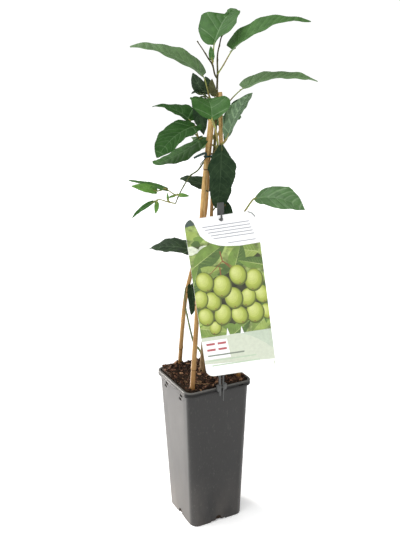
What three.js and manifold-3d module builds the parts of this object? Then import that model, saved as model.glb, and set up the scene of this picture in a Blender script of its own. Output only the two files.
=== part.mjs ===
// A young hardy kiwi vine in a tall square nursery pot, with its three canes, tie and hanging label card.
// Millimetres, +Z up. The origin is the centre of the pot's flat underside, and the pot's faces lie along
// X and Y.
// The plant, its canes and its card are set out in a frame of their own: +X to the right of the
// vine's best side, -Y towards whoever looks at it, and the whole turned by PLANT_TURN about +Z.

import * as THREE from 'three';
import { mergeVertices } from 'three/addons/utils/BufferGeometryUtils.js';
import Module from 'manifold-3d';

const wasm = await Module();
wasm.setup();

// Driving dimensions of the pot
const POT_HEIGHT = 232;
const POT_FOOT_SIZE = 88;
const POT_TOP_SIZE = 102.5;
const POT_WALL = 1.2;
const POT_FLOOR = 2.4;
const FOOT_CORNER = 13;
const TOP_CORNER = 9;
const RIM_SIZE = 110;
const RIM_BAND = 8;
const RIM_CORNER = 12;
const RIM_LIP_DROP = 1.5;
const FOOT_ROUND = 1.2;
const CORNER_STEPS = 4;
const DRAIN_NOTCH_WIDTH = 26;
const DRAIN_NOTCH_HEIGHT = 2.2;
const DRAIN_NOTCH_DEPTH = 7;
const DRAIN_HOLE_RADIUS = 4;
const RIM_SLOT_WIDTH = 3;
const RIM_SLOT_HEIGHT = 1.6;
const RIM_SLOT_PITCH = 4;
const RIM_SLOT_FROM_MIDDLE = 36;
const RIM_SLOT_DROP = 6;

// Driving dimensions of the soil
const SOIL_EDGE_LEVEL = 228.5;
const SOIL_MOUND = 8;
const SOIL_MOUND_SPREAD = 34;
const SOIL_MOUND_BACK = 8;
const SOIL_LUMP = 1.1;
const SOIL_EDGE_DROP = 4;
const SOIL_RINGS = [0.93, 0.78, 0.6, 0.42, 0.24, 0.1];

// Driving dimensions of the canes, vine and card
const CLEARANCE = 0.3;
const PLANT_TURN = THREE.MathUtils.degToRad(-27);
const CANE_SIDES = 8;
const CANE_STEPS = 24;
const CANE_NODE_PITCH = 96;
const CANE_NODE_SWELL = 0.55;
const CANE_NODE_WIDTH = 3;
const CANE_TOP_SHARE = 0.86;
const TRUNK_FOOT_RADIUS = 4.6;
const TRUNK_RADIUS = 2.9;
const TRUNK_TOP_RADIUS = 2.3;
const TRUNK_STEPS = 18;
const LEADER_RADIUS = 2.2;
const LEADER_TOP_RADIUS = 1.6;
const ROOT_FLARE_SHARE = 0.07;
const FOOT_ROOM_RADIUS = 6.6;
const FOOT_ROOM_HEIGHT = 8;
const TRUNK_FOOT_LEVEL = 236;
const LIMB_SIDES = 8;
const TWIG_SIDES = 5;
const PETIOLE_RADIUS = 0.95;
const BLADE_THICKNESS_SHARE = 0.014;
const CARD_WIDTH = 100;
const CARD_HEIGHT = 229;
const CARD_THICKNESS = 0.8;
const CARD_CORNER = 11;
const CARD_HOLE_RADIUS = 2.4;
const CARD_HOLE_DROP = 5.5;
const CARD_YAW = THREE.MathUtils.degToRad(2);
const CARD_LEAN = THREE.MathUtils.degToRad(3);
const CARD_TURN = THREE.MathUtils.degToRad(7.2);
const CARD_HOLE = [25.9, -56, 485];

const point = (x, y, z) => new THREE.Vector3(x, y, z);
const toPoints = (path) => path.map((p) => point(...p));
const lerp = THREE.MathUtils.lerp;

// Seeded numbers from 0 to 1, the same on every run
function seeded(seed) {
  let state = seed;
  return () => {
    state = (state * 1664525 + 1013904223) % 4294967296;
    return state / 4294967296;
  };
}

// A closed body over a run of rings. Each ring turns anticlockwise about the way from first to last.
function loft(rings, start, end) {
  const around = rings[0].length;
  const middle = (ring) => ring.reduce((sum, p) => sum.add(p), point(0, 0, 0)).divideScalar(around);
  const corners = rings.flat();
  const first = corners.length;
  corners.push(start ?? middle(rings[0]));
  corners.push(end ?? middle(rings.at(-1)));
  const index = [];
  for (let i = 0; i < around; i += 1) {
    const next = (i + 1) % around;
    index.push(first, next, i);
    for (let row = 0; row < rings.length - 1; row += 1) {
      const low = row * around;
      const high = low + around;
      index.push(low + i, low + next, high + next);
      index.push(low + i, high + next, high + i);
    }
    const last = (rings.length - 1) * around;
    index.push(first + 1, last + i, last + next);
  }
  const geometry = new THREE.BufferGeometry().setFromPoints(corners);
  geometry.setIndex(index);
  return geometry;
}

// Closed geometry to a solid that can be joined and cut, and back
function solid(geometry) {
  const bare = geometry.clone();
  bare.deleteAttribute('normal');
  bare.deleteAttribute('uv');
  const merged = mergeVertices(bare, 1e-4);
  return new wasm.Manifold(new wasm.Mesh({
    numProp: 3,
    vertProperties: new Float32Array(merged.attributes.position.array),
    triVerts: new Uint32Array(merged.index.array),
  }));
}

function geometryOf(body) {
  const result = body.getMesh();
  const geometry = new THREE.BufferGeometry();
  geometry.setAttribute('position', new THREE.BufferAttribute(new Float32Array(result.vertProperties), 3));
  geometry.setIndex(new THREE.BufferAttribute(new Uint32Array(result.triVerts), 1));
  return geometry;
}

const join = (solids) => solids.reduce((whole, next) => whole.add(next));

// The largest connected piece of a solid; loose scraps are dropped
function largest(body) {
  return body.decompose().reduce((best, next) => (next.volume() > best.volume() ? next : best));
}

function mesh(name, geometry, color, roughness, metalness = 0) {
  const flat = geometry.index ? geometry.toNonIndexed() : geometry;
  flat.computeVertexNormals();
  const made = new THREE.Mesh(flat, new THREE.MeshStandardMaterial({ color, roughness, metalness }));
  made.name = name;
  return made;
}

// A path with both ends drawn out by a little
function reach(points, extra) {
  const drawn = (end, next) => end.clone().addScaledVector(end.clone().sub(next).normalize(), extra);
  return [drawn(points[0], points[1]), ...points.slice(1, -1), drawn(points.at(-1), points.at(-2))];
}

// A tapering limb along a smooth curve; radiusAt gives the radius at a share of its length
function limb(points, radiusAt, sides = LIMB_SIDES, steps = 4 * (points.length - 1)) {
  const curve = new THREE.CatmullRomCurve3(points);
  const frames = curve.computeFrenetFrames(steps, false);
  const centres = curve.getSpacedPoints(steps);
  const rings = centres.map((centre, row) => {
    const ring = [];
    for (let i = 0; i < sides; i += 1) {
      const angle = (i / sides) * 2 * Math.PI;
      const radius = radiusAt(row / steps);
      ring.push(centre.clone()
        .addScaledVector(frames.normals[row], radius * Math.cos(angle))
        .addScaledVector(frames.binormals[row], radius * Math.sin(angle)));
    }
    return ring;
  });
  return loft(rings);
}

// The pot: a thin tapering wall with round corners, a turned-out rim band and a flat floor
function squareRing(size, corner, z) {
  const ring = [];
  const inset = size / 2 - corner;
  for (let quarter = 0; quarter < 4; quarter += 1) {
    const start = (quarter * Math.PI) / 2;
    const x = inset * Math.sign(Math.cos(start + Math.PI / 4));
    const y = inset * Math.sign(Math.sin(start + Math.PI / 4));
    for (let step = 0; step <= CORNER_STEPS; step += 1) {
      const angle = start + (step / CORNER_STEPS) * (Math.PI / 2);
      ring.push(point(x + corner * Math.cos(angle), y + corner * Math.sin(angle), z));
    }
  }
  return ring;
}

const BAND_LEVEL = POT_HEIGHT - RIM_BAND;
const wallSize = (z) => lerp(POT_FOOT_SIZE, POT_TOP_SIZE, z / BAND_LEVEL);
const wallCorner = (z) => lerp(FOOT_CORNER, TOP_CORNER, z / BAND_LEVEL);
const insideRing = (z, inset) => squareRing(wallSize(z) - 2 * inset, wallCorner(z) - inset, z);

function drainCutters() {
  const cutters = [];
  for (let side = 0; side < 4; side += 1) {
    const turn = (side * Math.PI) / 2;
    const notch = new THREE.BoxGeometry(2 * DRAIN_NOTCH_DEPTH, DRAIN_NOTCH_WIDTH, 2 * DRAIN_NOTCH_HEIGHT);
    notch.translate(POT_FOOT_SIZE / 2, 0, 0);
    const hole = new THREE.CylinderGeometry(DRAIN_HOLE_RADIUS, DRAIN_HOLE_RADIUS, 4 * POT_WALL, 10);
    hole.rotateZ(Math.PI / 2);
    hole.translate(POT_FOOT_SIZE / 2 - POT_WALL / 2, 0, DRAIN_HOLE_RADIUS);
    cutters.push(solid(notch.rotateZ(turn)), solid(hole.rotateZ(turn)));
  }
  return cutters;
}

function rimSlotCutters() {
  const cutters = [];
  const level = BAND_LEVEL - RIM_SLOT_DROP;
  for (let side = 0; side < 4; side += 1) {
    for (const end of [-1, 1]) {
      for (const row of [0, 1]) {
        const slot = new THREE.BoxGeometry(6 * POT_WALL, RIM_SLOT_WIDTH, RIM_SLOT_HEIGHT);
        slot.translate(wallSize(level) / 2, end * RIM_SLOT_FROM_MIDDLE, level - row * RIM_SLOT_PITCH);
        cutters.push(solid(slot.rotateZ((side * Math.PI) / 2)));
      }
    }
  }
  return cutters;
}

function potBody() {
  const rings = [
    squareRing(POT_FOOT_SIZE - 2 * FOOT_ROUND, FOOT_CORNER - FOOT_ROUND, 0),
    squareRing(POT_FOOT_SIZE, FOOT_CORNER, FOOT_ROUND),
    squareRing(POT_TOP_SIZE, TOP_CORNER, BAND_LEVEL),
    squareRing(RIM_SIZE, RIM_CORNER, BAND_LEVEL),
    squareRing(RIM_SIZE, RIM_CORNER, POT_HEIGHT - RIM_LIP_DROP),
    squareRing(RIM_SIZE - 2 * RIM_LIP_DROP, RIM_CORNER - RIM_LIP_DROP, POT_HEIGHT),
    squareRing(POT_TOP_SIZE, TOP_CORNER, POT_HEIGHT),
    insideRing(BAND_LEVEL, POT_WALL),
    insideRing(POT_FLOOR, POT_WALL),
  ];
  const cutters = join([...drainCutters(), ...rimSlotCutters()]);
  return geometryOf(largest(solid(loft(rings)).subtract(cutters)));
}

// The soil: fills the pot and heaps up a little towards the middle, with a lumpy top
function soilLevel(x, y) {
  const away = x * x + (y - SOIL_MOUND_BACK) ** 2;
  return SOIL_EDGE_LEVEL + SOIL_MOUND * Math.exp(-away / (2 * SOIL_MOUND_SPREAD ** 2));
}

function soilBody(cutters) {
  const random = seeded(11);
  const inset = POT_WALL + CLEARANCE;
  const edge = insideRing(SOIL_EDGE_LEVEL - SOIL_EDGE_DROP, inset);
  const rings = [insideRing(POT_FLOOR + CLEARANCE, inset), insideRing(POT_HEIGHT / 2, inset), edge];
  for (const share of SOIL_RINGS) {
    rings.push(edge.map((p) => {
      const x = p.x * share;
      const y = p.y * share;
      return point(x, y, soilLevel(x, y) + SOIL_LUMP * (2 * random() - 1));
    }));
  }
  return geometryOf(largest(solid(loft(rings)).subtract(cutters)));
}

// The canes: bamboo, thinner towards the top, with a raised ring at each node
const CANES = [
  {
    name: 'cane_front',
    radius: 3.7,
    path: [
      [-17, -55.5, 216], [-16.5, -54, 233], [-7.6, -38, 349], [1.5, -18.5, 489], [7.7, -10, 552],
      [15.6, -3, 618],
    ],
  },
  {
    name: 'cane_left',
    radius: 3.3,
    path: [
      [-38.5, 27, 218], [-37.5, 26, 237], [-26, 20, 347], [-14, 16, 396], [5.6, 10.5, 480],
      [11, 8, 550], [17, 9, 606],
    ],
  },
  {
    name: 'cane_right',
    radius: 3.3,
    path: [
      [53.5, -12.5, 214], [53, -12, 232], [42, -4, 380], [35, 0, 484], [29.6, 3, 571],
      [28.5, 5, 650],
    ],
  },
];

function caneRadius(cane, share) {
  const length = new THREE.CatmullRomCurve3(toPoints(cane.path)).getLength();
  const along = (share * length) % CANE_NODE_PITCH;
  const off = (along - CANE_NODE_PITCH / 2) / CANE_NODE_WIDTH;
  const swell = Math.exp(-off * off) * CANE_NODE_SWELL;
  return cane.radius * lerp(1, CANE_TOP_SHARE, share) + swell;
}

function caneBody(cane, extra = 0) {
  const points = reach(toPoints(cane.path), extra);
  return limb(points, (share) => caneRadius(cane, share) + extra, CANE_SIDES, CANE_STEPS);
}

// The vine's trunk, its leader and its bare shoots, each one tapering limb
const TRUNK_PATH = [
  [-1.5, -8, TRUNK_FOOT_LEVEL], [-1.5, -8, 243], [-1.2, -7, 262], [4, -3, 330], [10.5, 2, 410],
  [15, 4, 484], [18.2, 3, 556],
];
const LEADER_PATH = [[18.2, 3, 556.3], [20.8, 3, 585], [22.8, 3, 620], [24.2, 3, 654]];
const FORK = [24.2, 3, 654.35];
const SHOOTS = {
  shoot_leading: {
    path: [FORK, [25, 3, 675], [25.2, 4, 699], [28, 5, 712], [31.6, 8, 723.6], [39, 13, 729]],
    radii: [1.5, 0.8],
  },
  shoot_twining: {
    path: [
      [24.9, 3, 668], [21.5, 1.5, 673], [18.2, 0, 686], [12.2, -3, 695.3], [5.6, -6, 706],
      [-2.3, -8, 717.5],
    ],
    radii: [1.3, 0.7],
  },
  shoot_left: {
    path: [
      [18.8, 3, 561], [21, 10.5, 561], [15.5, 17, 559], [6, 16.5, 553], [-4, 10, 541.5],
      [-14.3, 4, 535.3], [-20, 0, 528], [-30, -6.5, 511.5], [-36, -12, 498.5],
    ],
    radii: [1.3, 0.8],
  },
  shoot_low: {
    path: [
      [-1.2, -7, 259], [-4.7, 3, 268], [-13.6, 8, 279], [-17.9, 9, 295], [-22, 9, 316],
      [-25, 9, 332],
    ],
    radii: [1.2, 0.9],
  },
};

function trunkRadius(share) {
  const flare = Math.exp(-share / ROOT_FLARE_SHARE) * (TRUNK_FOOT_RADIUS - TRUNK_RADIUS);
  return lerp(TRUNK_RADIUS, TRUNK_TOP_RADIUS, share) + flare;
}

function trunkBody(extra = 0) {
  const radiusAt = (share) => trunkRadius(share) + extra;
  return limb(reach(toPoints(TRUNK_PATH), extra), radiusAt, LIMB_SIDES, TRUNK_STEPS);
}

function leaderBody(extra = 0) {
  const radiusAt = (share) => lerp(LEADER_RADIUS, LEADER_TOP_RADIUS, share) + extra;
  return limb(reach(toPoints(LEADER_PATH), extra), radiusAt);
}

function shootBody(shoot, extra = 0) {
  const radiusAt = (share) => lerp(...shoot.radii, share) + extra;
  return limb(reach(toPoints(shoot.path), extra), radiusAt, TWIG_SIDES, 3 * (shoot.path.length - 1));
}

// A leaf blade: a thin lens along an arched midrib. face is the way its upper side looks.
const BLADE_STATIONS = [0.03, 0.12, 0.27, 0.45, 0.62, 0.78, 0.91];
const SMALL_BLADE_STATIONS = [0.06, 0.3, 0.6, 0.85];
const SMALL_BLADE_WIDTH = 20;
const STALK_IN_BLADE = 5;
const RIPPLES = 1.7;
const BLADE_COLUMNS = [1, 0.5, 0, -0.5, -1];
const BASE_LOBE = 0.05;
const OVATE = { belly: 0.38, point: 0.8 };
const OBOVATE = { belly: 0.85, point: 0.65 };

function outline(share, shape = OVATE) {
  const peak = shape.belly / (shape.belly + shape.point);
  const value = (t) => t ** shape.belly * (1 - t) ** shape.point;
  return value(share) / value(peak);
}

function bladeFrame(leaf) {
  const base = point(...leaf.base);
  const tip = point(...leaf.tip);
  const along = tip.clone().sub(base);
  const length = along.length();
  along.normalize();
  const face = point(...leaf.face);
  const up = face.addScaledVector(along, -face.dot(along)).normalize();
  const side = up.clone().cross(along);
  return { base, along, length, up, side };
}

function blade(leaf, phase) {
  const { base, along, length, up, side } = bladeFrame(leaf);
  const arch = leaf.arch ?? 0.12;
  const fold = leaf.fold ?? 0.18;
  const wave = (leaf.wave ?? 0.03) * leaf.width;
  const curl = leaf.curl ?? 0;
  const bend = leaf.bend ?? 0;
  const skew = leaf.skew ?? 0;
  const spot = (share, column) => {
    const half = 0.5 * leaf.width * outline(share, leaf.shape) * (1 + skew * column);
    const lobe = BASE_LOBE * column * column * (1 - share) ** 6;
    const rise = length * (arch * 4 * share * (1 - share) - curl * share ** 3);
    const ripple = wave * column * column * Math.sin(2 * Math.PI * (RIPPLES * share + phase) + column);
    return base.clone()
      .addScaledVector(along, length * (share - lobe))
      .addScaledVector(side, half * column + length * bend * 4 * share * (1 - share))
      .addScaledVector(up, rise + half * fold * Math.abs(column) + ripple);
  };
  const thick = length * BLADE_THICKNESS_SHARE;
  const stations = leaf.width < SMALL_BLADE_WIDTH ? SMALL_BLADE_STATIONS : BLADE_STATIONS;
  const rings = stations.map((share) => {
    const over = BLADE_COLUMNS.map((column) => {
      return spot(share, column).addScaledVector(up, 0.5 * thick * (1 - column * column));
    });
    const under = BLADE_COLUMNS.slice(1, -1).reverse().map((column) => {
      return spot(share, column).addScaledVector(up, -0.5 * thick * (1 - column * column));
    });
    return [...over, ...under];
  });
  return loft(rings, spot(0, 0), spot(1, 0));
}

// A leaf's stalk runs from where it leaves the limb to a few millimetres inside the blade
function stalk(leaf, extra = 0) {
  const { base, along, up } = bladeFrame(leaf);
  const inside = base.clone().addScaledVector(along, STALK_IN_BLADE).addScaledVector(up, 1);
  const points = [...toPoints(leaf.stalk), base, inside];
  const radiusAt = (share) => PETIOLE_RADIUS * lerp(1.15, 0.85, share) + extra;
  return limb(points, radiusAt, TWIG_SIDES, 2 * (points.length - 1));
}

// Each mass of foliage: an optional twig of its own, and the leaves that grow from it or from the limb
const SPRAYS = [
  {
    name: 'leaves_crown',
    tint: 0x4b7d46,
    twig: { path: [[18.2, 0, 686], [18.8, -0.7, 693]], radii: [1.1, 1] },
    leaves: [
      {
        stalk: [[18.6, -0.5, 690], [19.5, -1, 700]],
        base: [20.5, -2, 712],
        tip: [48, 43, 757.5],
        width: 51,
        face: [-0.34, -0.8, 0.48],
        arch: 0.13,
        fold: 0.2,
        bend: -0.065,
        skew: 0.4,
      },
      {
        stalk: [[18.6, -0.5, 690]],
        base: [17.5, -1.5, 693],
        tip: [16, -3, 711],
        width: 8,
        face: [0, -1, 0],
      },
    ],
  },
  {
    name: 'leaves_top_right',
    tint: 0x447a42,
    leaves: [
      {
        stalk: [[25, 3, 674], [32, 2, 684]],
        base: [45.4, 0, 705.2],
        tip: [148.7, -8, 742.1],
        width: 40.5,
        face: [-0.12, -0.36, 0.93],
        arch: 0.126,
        fold: 0.22,
        skew: 0.24,
        curl: 0.02,
      },
    ],
  },
  {
    name: 'leaves_top_left',
    tint: 0x447a42,
    leaves: [
      {
        stalk: [[23, 3, 626], [14, -1, 642], [10, -4, 658]],
        base: [5.1, -5, 672],
        tip: [-91.4, -17, 711.8],
        width: 39,
        face: [0.03, -0.42, 0.9],
        arch: 0.121,
        fold: 0.22,
        bend: 0.03,
        skew: -0.08,
      },
    ],
  },
  {
    name: 'leaves_upper_right',
    tint: 0x4f8050,
    leaves: [
      {
        stalk: [[22.8, 3, 618], [30.8, -3, 624], [44, -1, 641]],
        base: [59.6, 0, 654.5],
        tip: [160.4, -9, 662.3],
        width: 41.5,
        face: [0, -0.25, 0.97],
        arch: 0.106,
        fold: 0.2,
        skew: 0.05,
      },
    ],
  },
  {
    name: 'leaves_underside_right',
    tint: 0x6f8f70,
    twig: { path: [[20.5, 3, 577], [24, -5, 577], [28, -7, 578]], radii: [1.3, 1.1] },
    leaves: [
      {
        stalk: [[27, -7, 578], [31, -7, 580]],
        base: [36.5, -6, 586],
        tip: [72, -18, 649.8],
        width: 39.5,
        face: [-0.7, 0.52, 0.48],
        arch: 0.044,
        bend: -0.08,
        shape: OBOVATE,
      },
      {
        stalk: [[27, -7, 578], [32, -4, 583]],
        base: [38, 0, 593],
        tip: [66, 4, 634],
        width: 22,
        face: [-0.6, 0.6, 0.45],
        arch: 0.06,
      },
    ],
  },
  {
    name: 'leaves_centre',
    tint: 0x4a7c45,
    leaves: [
      {
        stalk: [[19.4, 3, 567], [24, -7, 576], [22, -24, 597], [18.5, -37, 611]],
        base: [16.1, -40, 617],
        tip: [9.1, -7, 642.2],
        width: 52,
        face: [0.17, -0.62, 0.77],
        arch: 0.16,
        fold: 0.3,
        bend: -0.025,
      },
    ],
  },
  {
    name: 'leaves_dark_upper',
    tint: 0x2c4a36,
    twig: { path: [[23.2, 3, 636], [15, 9, 640], [8, 12, 645]], radii: [1.3, 1] },
    leaves: [
      { stalk: [[8, 12, 645]], base: [7, 12, 649], tip: [-9, 10, 676], width: 20, face: [-0.5, -0.8, 0.3] },
      { stalk: [[15, 9, 640]], base: [13, 10, 648], tip: [8.5, 8, 671], width: 16, face: [0.3, -0.9, 0.2] },
    ],
  },
  {
    name: 'leaves_dark_middle',
    tint: 0x2c4a36,
    leaves: [
      {
        stalk: [[23, 3, 631], [12, 10, 639], [4, 13, 644]],
        base: [-1, 14, 641],
        tip: [5.6, 11.8, 590.6],
        width: 27.5,
        face: [-0.66, -0.68, 0.32],
        arch: 0.1,
        fold: 0.19,
        bend: 0.03,
        skew: 0.13,
      },
    ],
  },
  {
    name: 'leaves_left',
    tint: 0x356b35,
    twig: {
      path: [
        [19.8, 3, 572], [21.8, 11, 574], [16, 17, 577], [6, 16, 582], [-4, 6, 590],
      ],
      radii: [1.4, 1],
    },
    leaves: [
      {
        stalk: [[4, 14, 583], [3, 8, 587]],
        base: [3, 0, 588],
        tip: [-64.9, -27, 557.5],
        width: 40,
        face: [0, -0.24, 0.97],
        arch: -0.07,
        fold: 0.08,
        skew: 0.32,
      },
      {
        stalk: [[-3, 7, 589], [-5, -2, 600]],
        base: [-5.4, -8, 605.6],
        tip: [-58.7, -48, 570.3],
        width: 48,
        face: [-0.38, -0.58, 0.72],
        arch: 0.106,
        curl: 0.036,
      },
      {
        stalk: [[-3, 7, 589], [-10, 3, 598], [-14, 6, 606]],
        base: [-13, 9, 611],
        tip: [-67.4, 40, 630.6],
        width: 32,
        face: [0, -0.09, 1],
        arch: 0.065,
        fold: 0.12,
        bend: -0.077,
        skew: -0.33,
        curl: 0.02,
      },
    ],
  },
  {
    name: 'leaves_hanging',
    tint: 0x24402f,
    twig: { path: [[18.8, 3, 560], [21.5, -6, 566], [26, -11, 573]], radii: [1.3, 1.1] },
    leaves: [
      {
        stalk: [[23, -8, 569], [27, -13, 578]],
        base: [29.5, -14, 577],
        tip: [24.4, -12, 474],
        width: 40,
        face: [0.45, -0.87, 0.2],
        arch: 0.062,
        bend: -0.033,
        curl: 0.04,
      },
    ],
  },
  {
    name: 'leaves_middle_right',
    tint: 0x24402f,
    leaves: [
      {
        stalk: [[14.8, 4, 482], [24, -1, 493]],
        base: [33, -4.5, 497],
        tip: [44.5, -5, 462],
        width: 20,
        face: [0.1, -1, 0.1],
        arch: 0.03,
        fold: 0.06,
      },
    ],
  },
  {
    name: 'leaves_behind_canes',
    tint: 0x2b4c36,
    leaves: [
      {
        stalk: [[17.6, 3, 540], [18, 12, 530]],
        base: [15, 18, 512],
        tip: [-29.8, 27, 527.7],
        width: 25,
        face: [0, -0.28, 0.96],
        arch: 0.08,
        bend: -0.04,
      },
    ],
  },
  {
    name: 'leaves_small_left',
    tint: 0x4c8a3c,
    twig: {
      path: [
        [-36, -12, 498.5], [-46.3, -16, 501.7], [-59.3, -20, 506.2], [-65, -20, 503.5],
      ],
      radii: [0.9, 0.7],
    },
    leaves: [
      {
        stalk: [[-61, -20, 506]],
        base: [-62, -21, 503],
        tip: [-64, -25, 487],
        width: 8,
        face: [0.3, -1, 0],
      },
      {
        stalk: [[-64, -20, 504]],
        base: [-66, -20, 502.8],
        tip: [-96.4, -30, 482.6],
        width: 13,
        face: [-0.3, -0.6, 0.7],
        arch: 0.06,
      },
      { stalk: [[-44, -15, 501]], base: [-46, -16, 503], tip: [-47, -16, 515], width: 5, face: [0, -1, 0] },
    ],
  },
  {
    name: 'leaves_tuft_left',
    tint: 0x4c8a3c,
    twig: {
      path: [
        [-31, -7, 510.6], [-36, -8.5, 510.5], [-44, -11, 516], [-50, -13, 521],
      ],
      radii: [0.9, 0.7],
    },
    leaves: [
      {
        stalk: [[-46, -12, 518]],
        base: [-48, -12, 518.5],
        tip: [-100.3, -25, 534.4],
        width: 15,
        face: [0, -0.45, 0.9],
        arch: 0.05,
      },
      {
        stalk: [[-49, -13, 520]],
        base: [-62, -20, 518],
        tip: [-95.5, -34, 530],
        width: 16,
        face: [-0.1, -0.8, 0.6],
        arch: 0.06,
      },
      {
        stalk: [[-33, -7, 510.5]],
        base: [-31, -10, 510],
        tip: [-18, -16, 508],
        width: 6,
        face: [0, -1, 0.4],
      },
    ],
  },
  {
    name: 'leaves_right',
    tint: 0x4b7a52,
    leaves: [
      {
        stalk: [[13, 3, 445], [32, 12, 456], [50, 4, 470], [60, -2, 481]],
        base: [75.8, -5, 502.6],
        tip: [145.4, -25, 489],
        width: 45,
        face: [0, -0.55, 0.83],
        arch: 0.118,
        bend: 0.03,
      },
    ],
  },
  {
    name: 'leaves_lower_left',
    tint: 0x2d4e3b,
    leaves: [
      {
        stalk: [[10.5, 2, 412], [0, -4, 420]],
        base: [-12, -3, 427],
        tip: [-76, -2, 430.2],
        width: 40,
        face: [0, -0.3, 0.95],
        arch: 0.088,
        fold: 0.14,
      },
    ],
  },
  {
    name: 'leaves_low',
    tint: 0x2b4a38,
    leaves: [
      {
        stalk: [[-25.1, 9, 332.4], [-27, 8, 345], [-26, 4, 368]],
        base: [-19, 1, 376],
        tip: [-19.5, -3, 328],
        width: 18,
        face: [0.5, -0.85, 0],
      },
    ],
  },
  {
    name: 'leaves_back_upper',
    tint: 0x41703f,
    twig: { path: [[20.6, 3, 580], [24, 14, 588], [26, 26, 592]], radii: [1.4, 1] },
    leaves: [
      { stalk: [[25, 20, 590]], base: [30, 34, 600], tip: [44, 112, 600], width: 50, face: [0.1, 0.1, 1] },
      { stalk: [[25, 20, 590]], base: [18, 34, 582], tip: [4, 102, 560], width: 46, face: [-0.2, 0.2, 1] },
    ],
  },
  {
    name: 'leaves_back_middle',
    tint: 0x376239,
    twig: { path: [[13.5, 3, 455], [18, 14, 456], [20, 24, 456]], radii: [1.4, 1] },
    leaves: [
      { stalk: [[19, 19, 456]], base: [32, 32, 456], tip: [66, 92, 436], width: 44, face: [0.1, 0.3, 1] },
      { stalk: [[19, 19, 456]], base: [8, 34, 450], tip: [-8, 98, 428], width: 44, face: [-0.2, 0.2, 1] },
    ],
  },
  {
    name: 'leaves_back_low',
    tint: 0x35603a,
    twig: { path: [[5.5, -2, 348], [12, 12, 353], [16, 20, 355]], radii: [1.4, 1] },
    leaves: [
      { stalk: [[14, 16, 354]], base: [34, 24, 362], tip: [86, 56, 344], width: 44, face: [0.3, 0.2, 1] },
      { stalk: [[14, 16, 354]], base: [12, 34, 350], tip: [10, 96, 322], width: 42, face: [0, 0.3, 1] },
    ],
  },
];

// The stems of a mass: its twig, and the stalk of each leaf
function sprayStems(spray, extra = 0) {
  const stems = spray.leaves.map((leaf) => solid(stalk(leaf, extra)));
  if (spray.twig) {
    const { path, radii } = spray.twig;
    const radiusAt = (share) => lerp(...radii, share) + extra;
    stems.push(solid(limb(toPoints(path), radiusAt, TWIG_SIDES, 2 * (path.length - 1))));
  }
  return stems;
}

function sprayBody(spray, cutters, random) {
  const blades = spray.leaves.map((leaf) => solid(blade(leaf, random())));
  return geometryOf(largest(join([...sprayStems(spray), ...blades]).subtract(cutters)));
}

// The tie: a band round the canes and the vine, with two loose ends
const TIE_LEVEL = 564;
const TIE_HEIGHT = 2.6;
const TIE_THICKNESS = 1;
const TIE_STEPS = 28;
const TIE_END_RADIUS = 0.8;
const TIE_ENDS = [
  [[8.5, -10.8, 564], [7, -16, 569], [-2, -15, 566], [-9, -12, 562]],
  [[8.5, -10.8, 564], [5, -16, 560], [-1, -14, 553]],
];

function tieBody(bundle, extra = 0) {
  const around = (reach) => {
    const points = [];
    for (let i = 0; i < TIE_STEPS; i += 1) {
      const angle = (i / TIE_STEPS) * 2 * Math.PI;
      const way = new THREE.Vector2(Math.cos(angle), Math.sin(angle));
      const outer = bundle.reduce((best, rod) => {
        const score = way.x * rod.x + way.y * rod.y + rod.radius;
        return score > best.score ? { rod, score } : best;
      }, { score: -Infinity }).rod;
      points.push(new THREE.Vector2(outer.x, outer.y).addScaledVector(way, outer.radius + reach));
    }
    return points;
  };
  const shape = new THREE.Shape(around(CLEARANCE + TIE_THICKNESS + extra));
  shape.holes.push(new THREE.Path(around(CLEARANCE - extra)));
  const depth = TIE_HEIGHT + 2 * extra;
  const band = new THREE.ExtrudeGeometry(shape, { depth, bevelEnabled: false });
  const radiusAt = () => TIE_END_RADIUS + extra;
  const ends = TIE_ENDS.map((path) => solid(limb(toPoints(path), radiusAt, TWIG_SIDES, 6)));
  return join([solid(band.translate(0, 0, TIE_LEVEL - depth / 2)), ...ends]);
}

function rodAt(path, radius, level) {
  const curve = new THREE.CatmullRomCurve3(toPoints(path));
  const spots = curve.getSpacedPoints(400);
  const spot = spots.reduce((best, p) => (Math.abs(p.z - level) < Math.abs(best.z - level) ? p : best));
  return { x: spot.x, y: spot.y, radius };
}

// The card hangs by its hole from a hook on the stick, which is clipped over the pot's rim
function cardGroup() {
  const half = CARD_WIDTH / 2 - CARD_CORNER;
  const top = CARD_HOLE_DROP;
  const bottom = top - CARD_HEIGHT;
  const shape = new THREE.Shape();
  shape.absarc(half, top - CARD_CORNER, CARD_CORNER, 0, Math.PI / 2);
  shape.absarc(-half, top - CARD_CORNER, CARD_CORNER, Math.PI / 2, Math.PI);
  shape.absarc(-half, bottom + CARD_CORNER, CARD_CORNER, Math.PI, 1.5 * Math.PI);
  shape.absarc(half, bottom + CARD_CORNER, CARD_CORNER, 1.5 * Math.PI, 2 * Math.PI);
  const hole = new THREE.Path();
  hole.absarc(0, 0, CARD_HOLE_RADIUS, 0, 2 * Math.PI, true);
  shape.holes.push(hole);
  const flat = { depth: CARD_THICKNESS, bevelEnabled: false, curveSegments: 6 };
  const card = new THREE.ExtrudeGeometry(shape, flat);
  card.translate(0, 0, -CARD_THICKNESS / 2);
  const hung = new THREE.Group();
  hung.position.set(...CARD_HOLE);
  hung.rotation.set(Math.PI / 2 - CARD_LEAN, 0, CARD_YAW, 'ZXY');
  const made = mesh('label_card', card, 0xd5dfc8, 0.35);
  made.rotation.z = CARD_TURN;
  hung.add(made);
  return hung;
}

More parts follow.
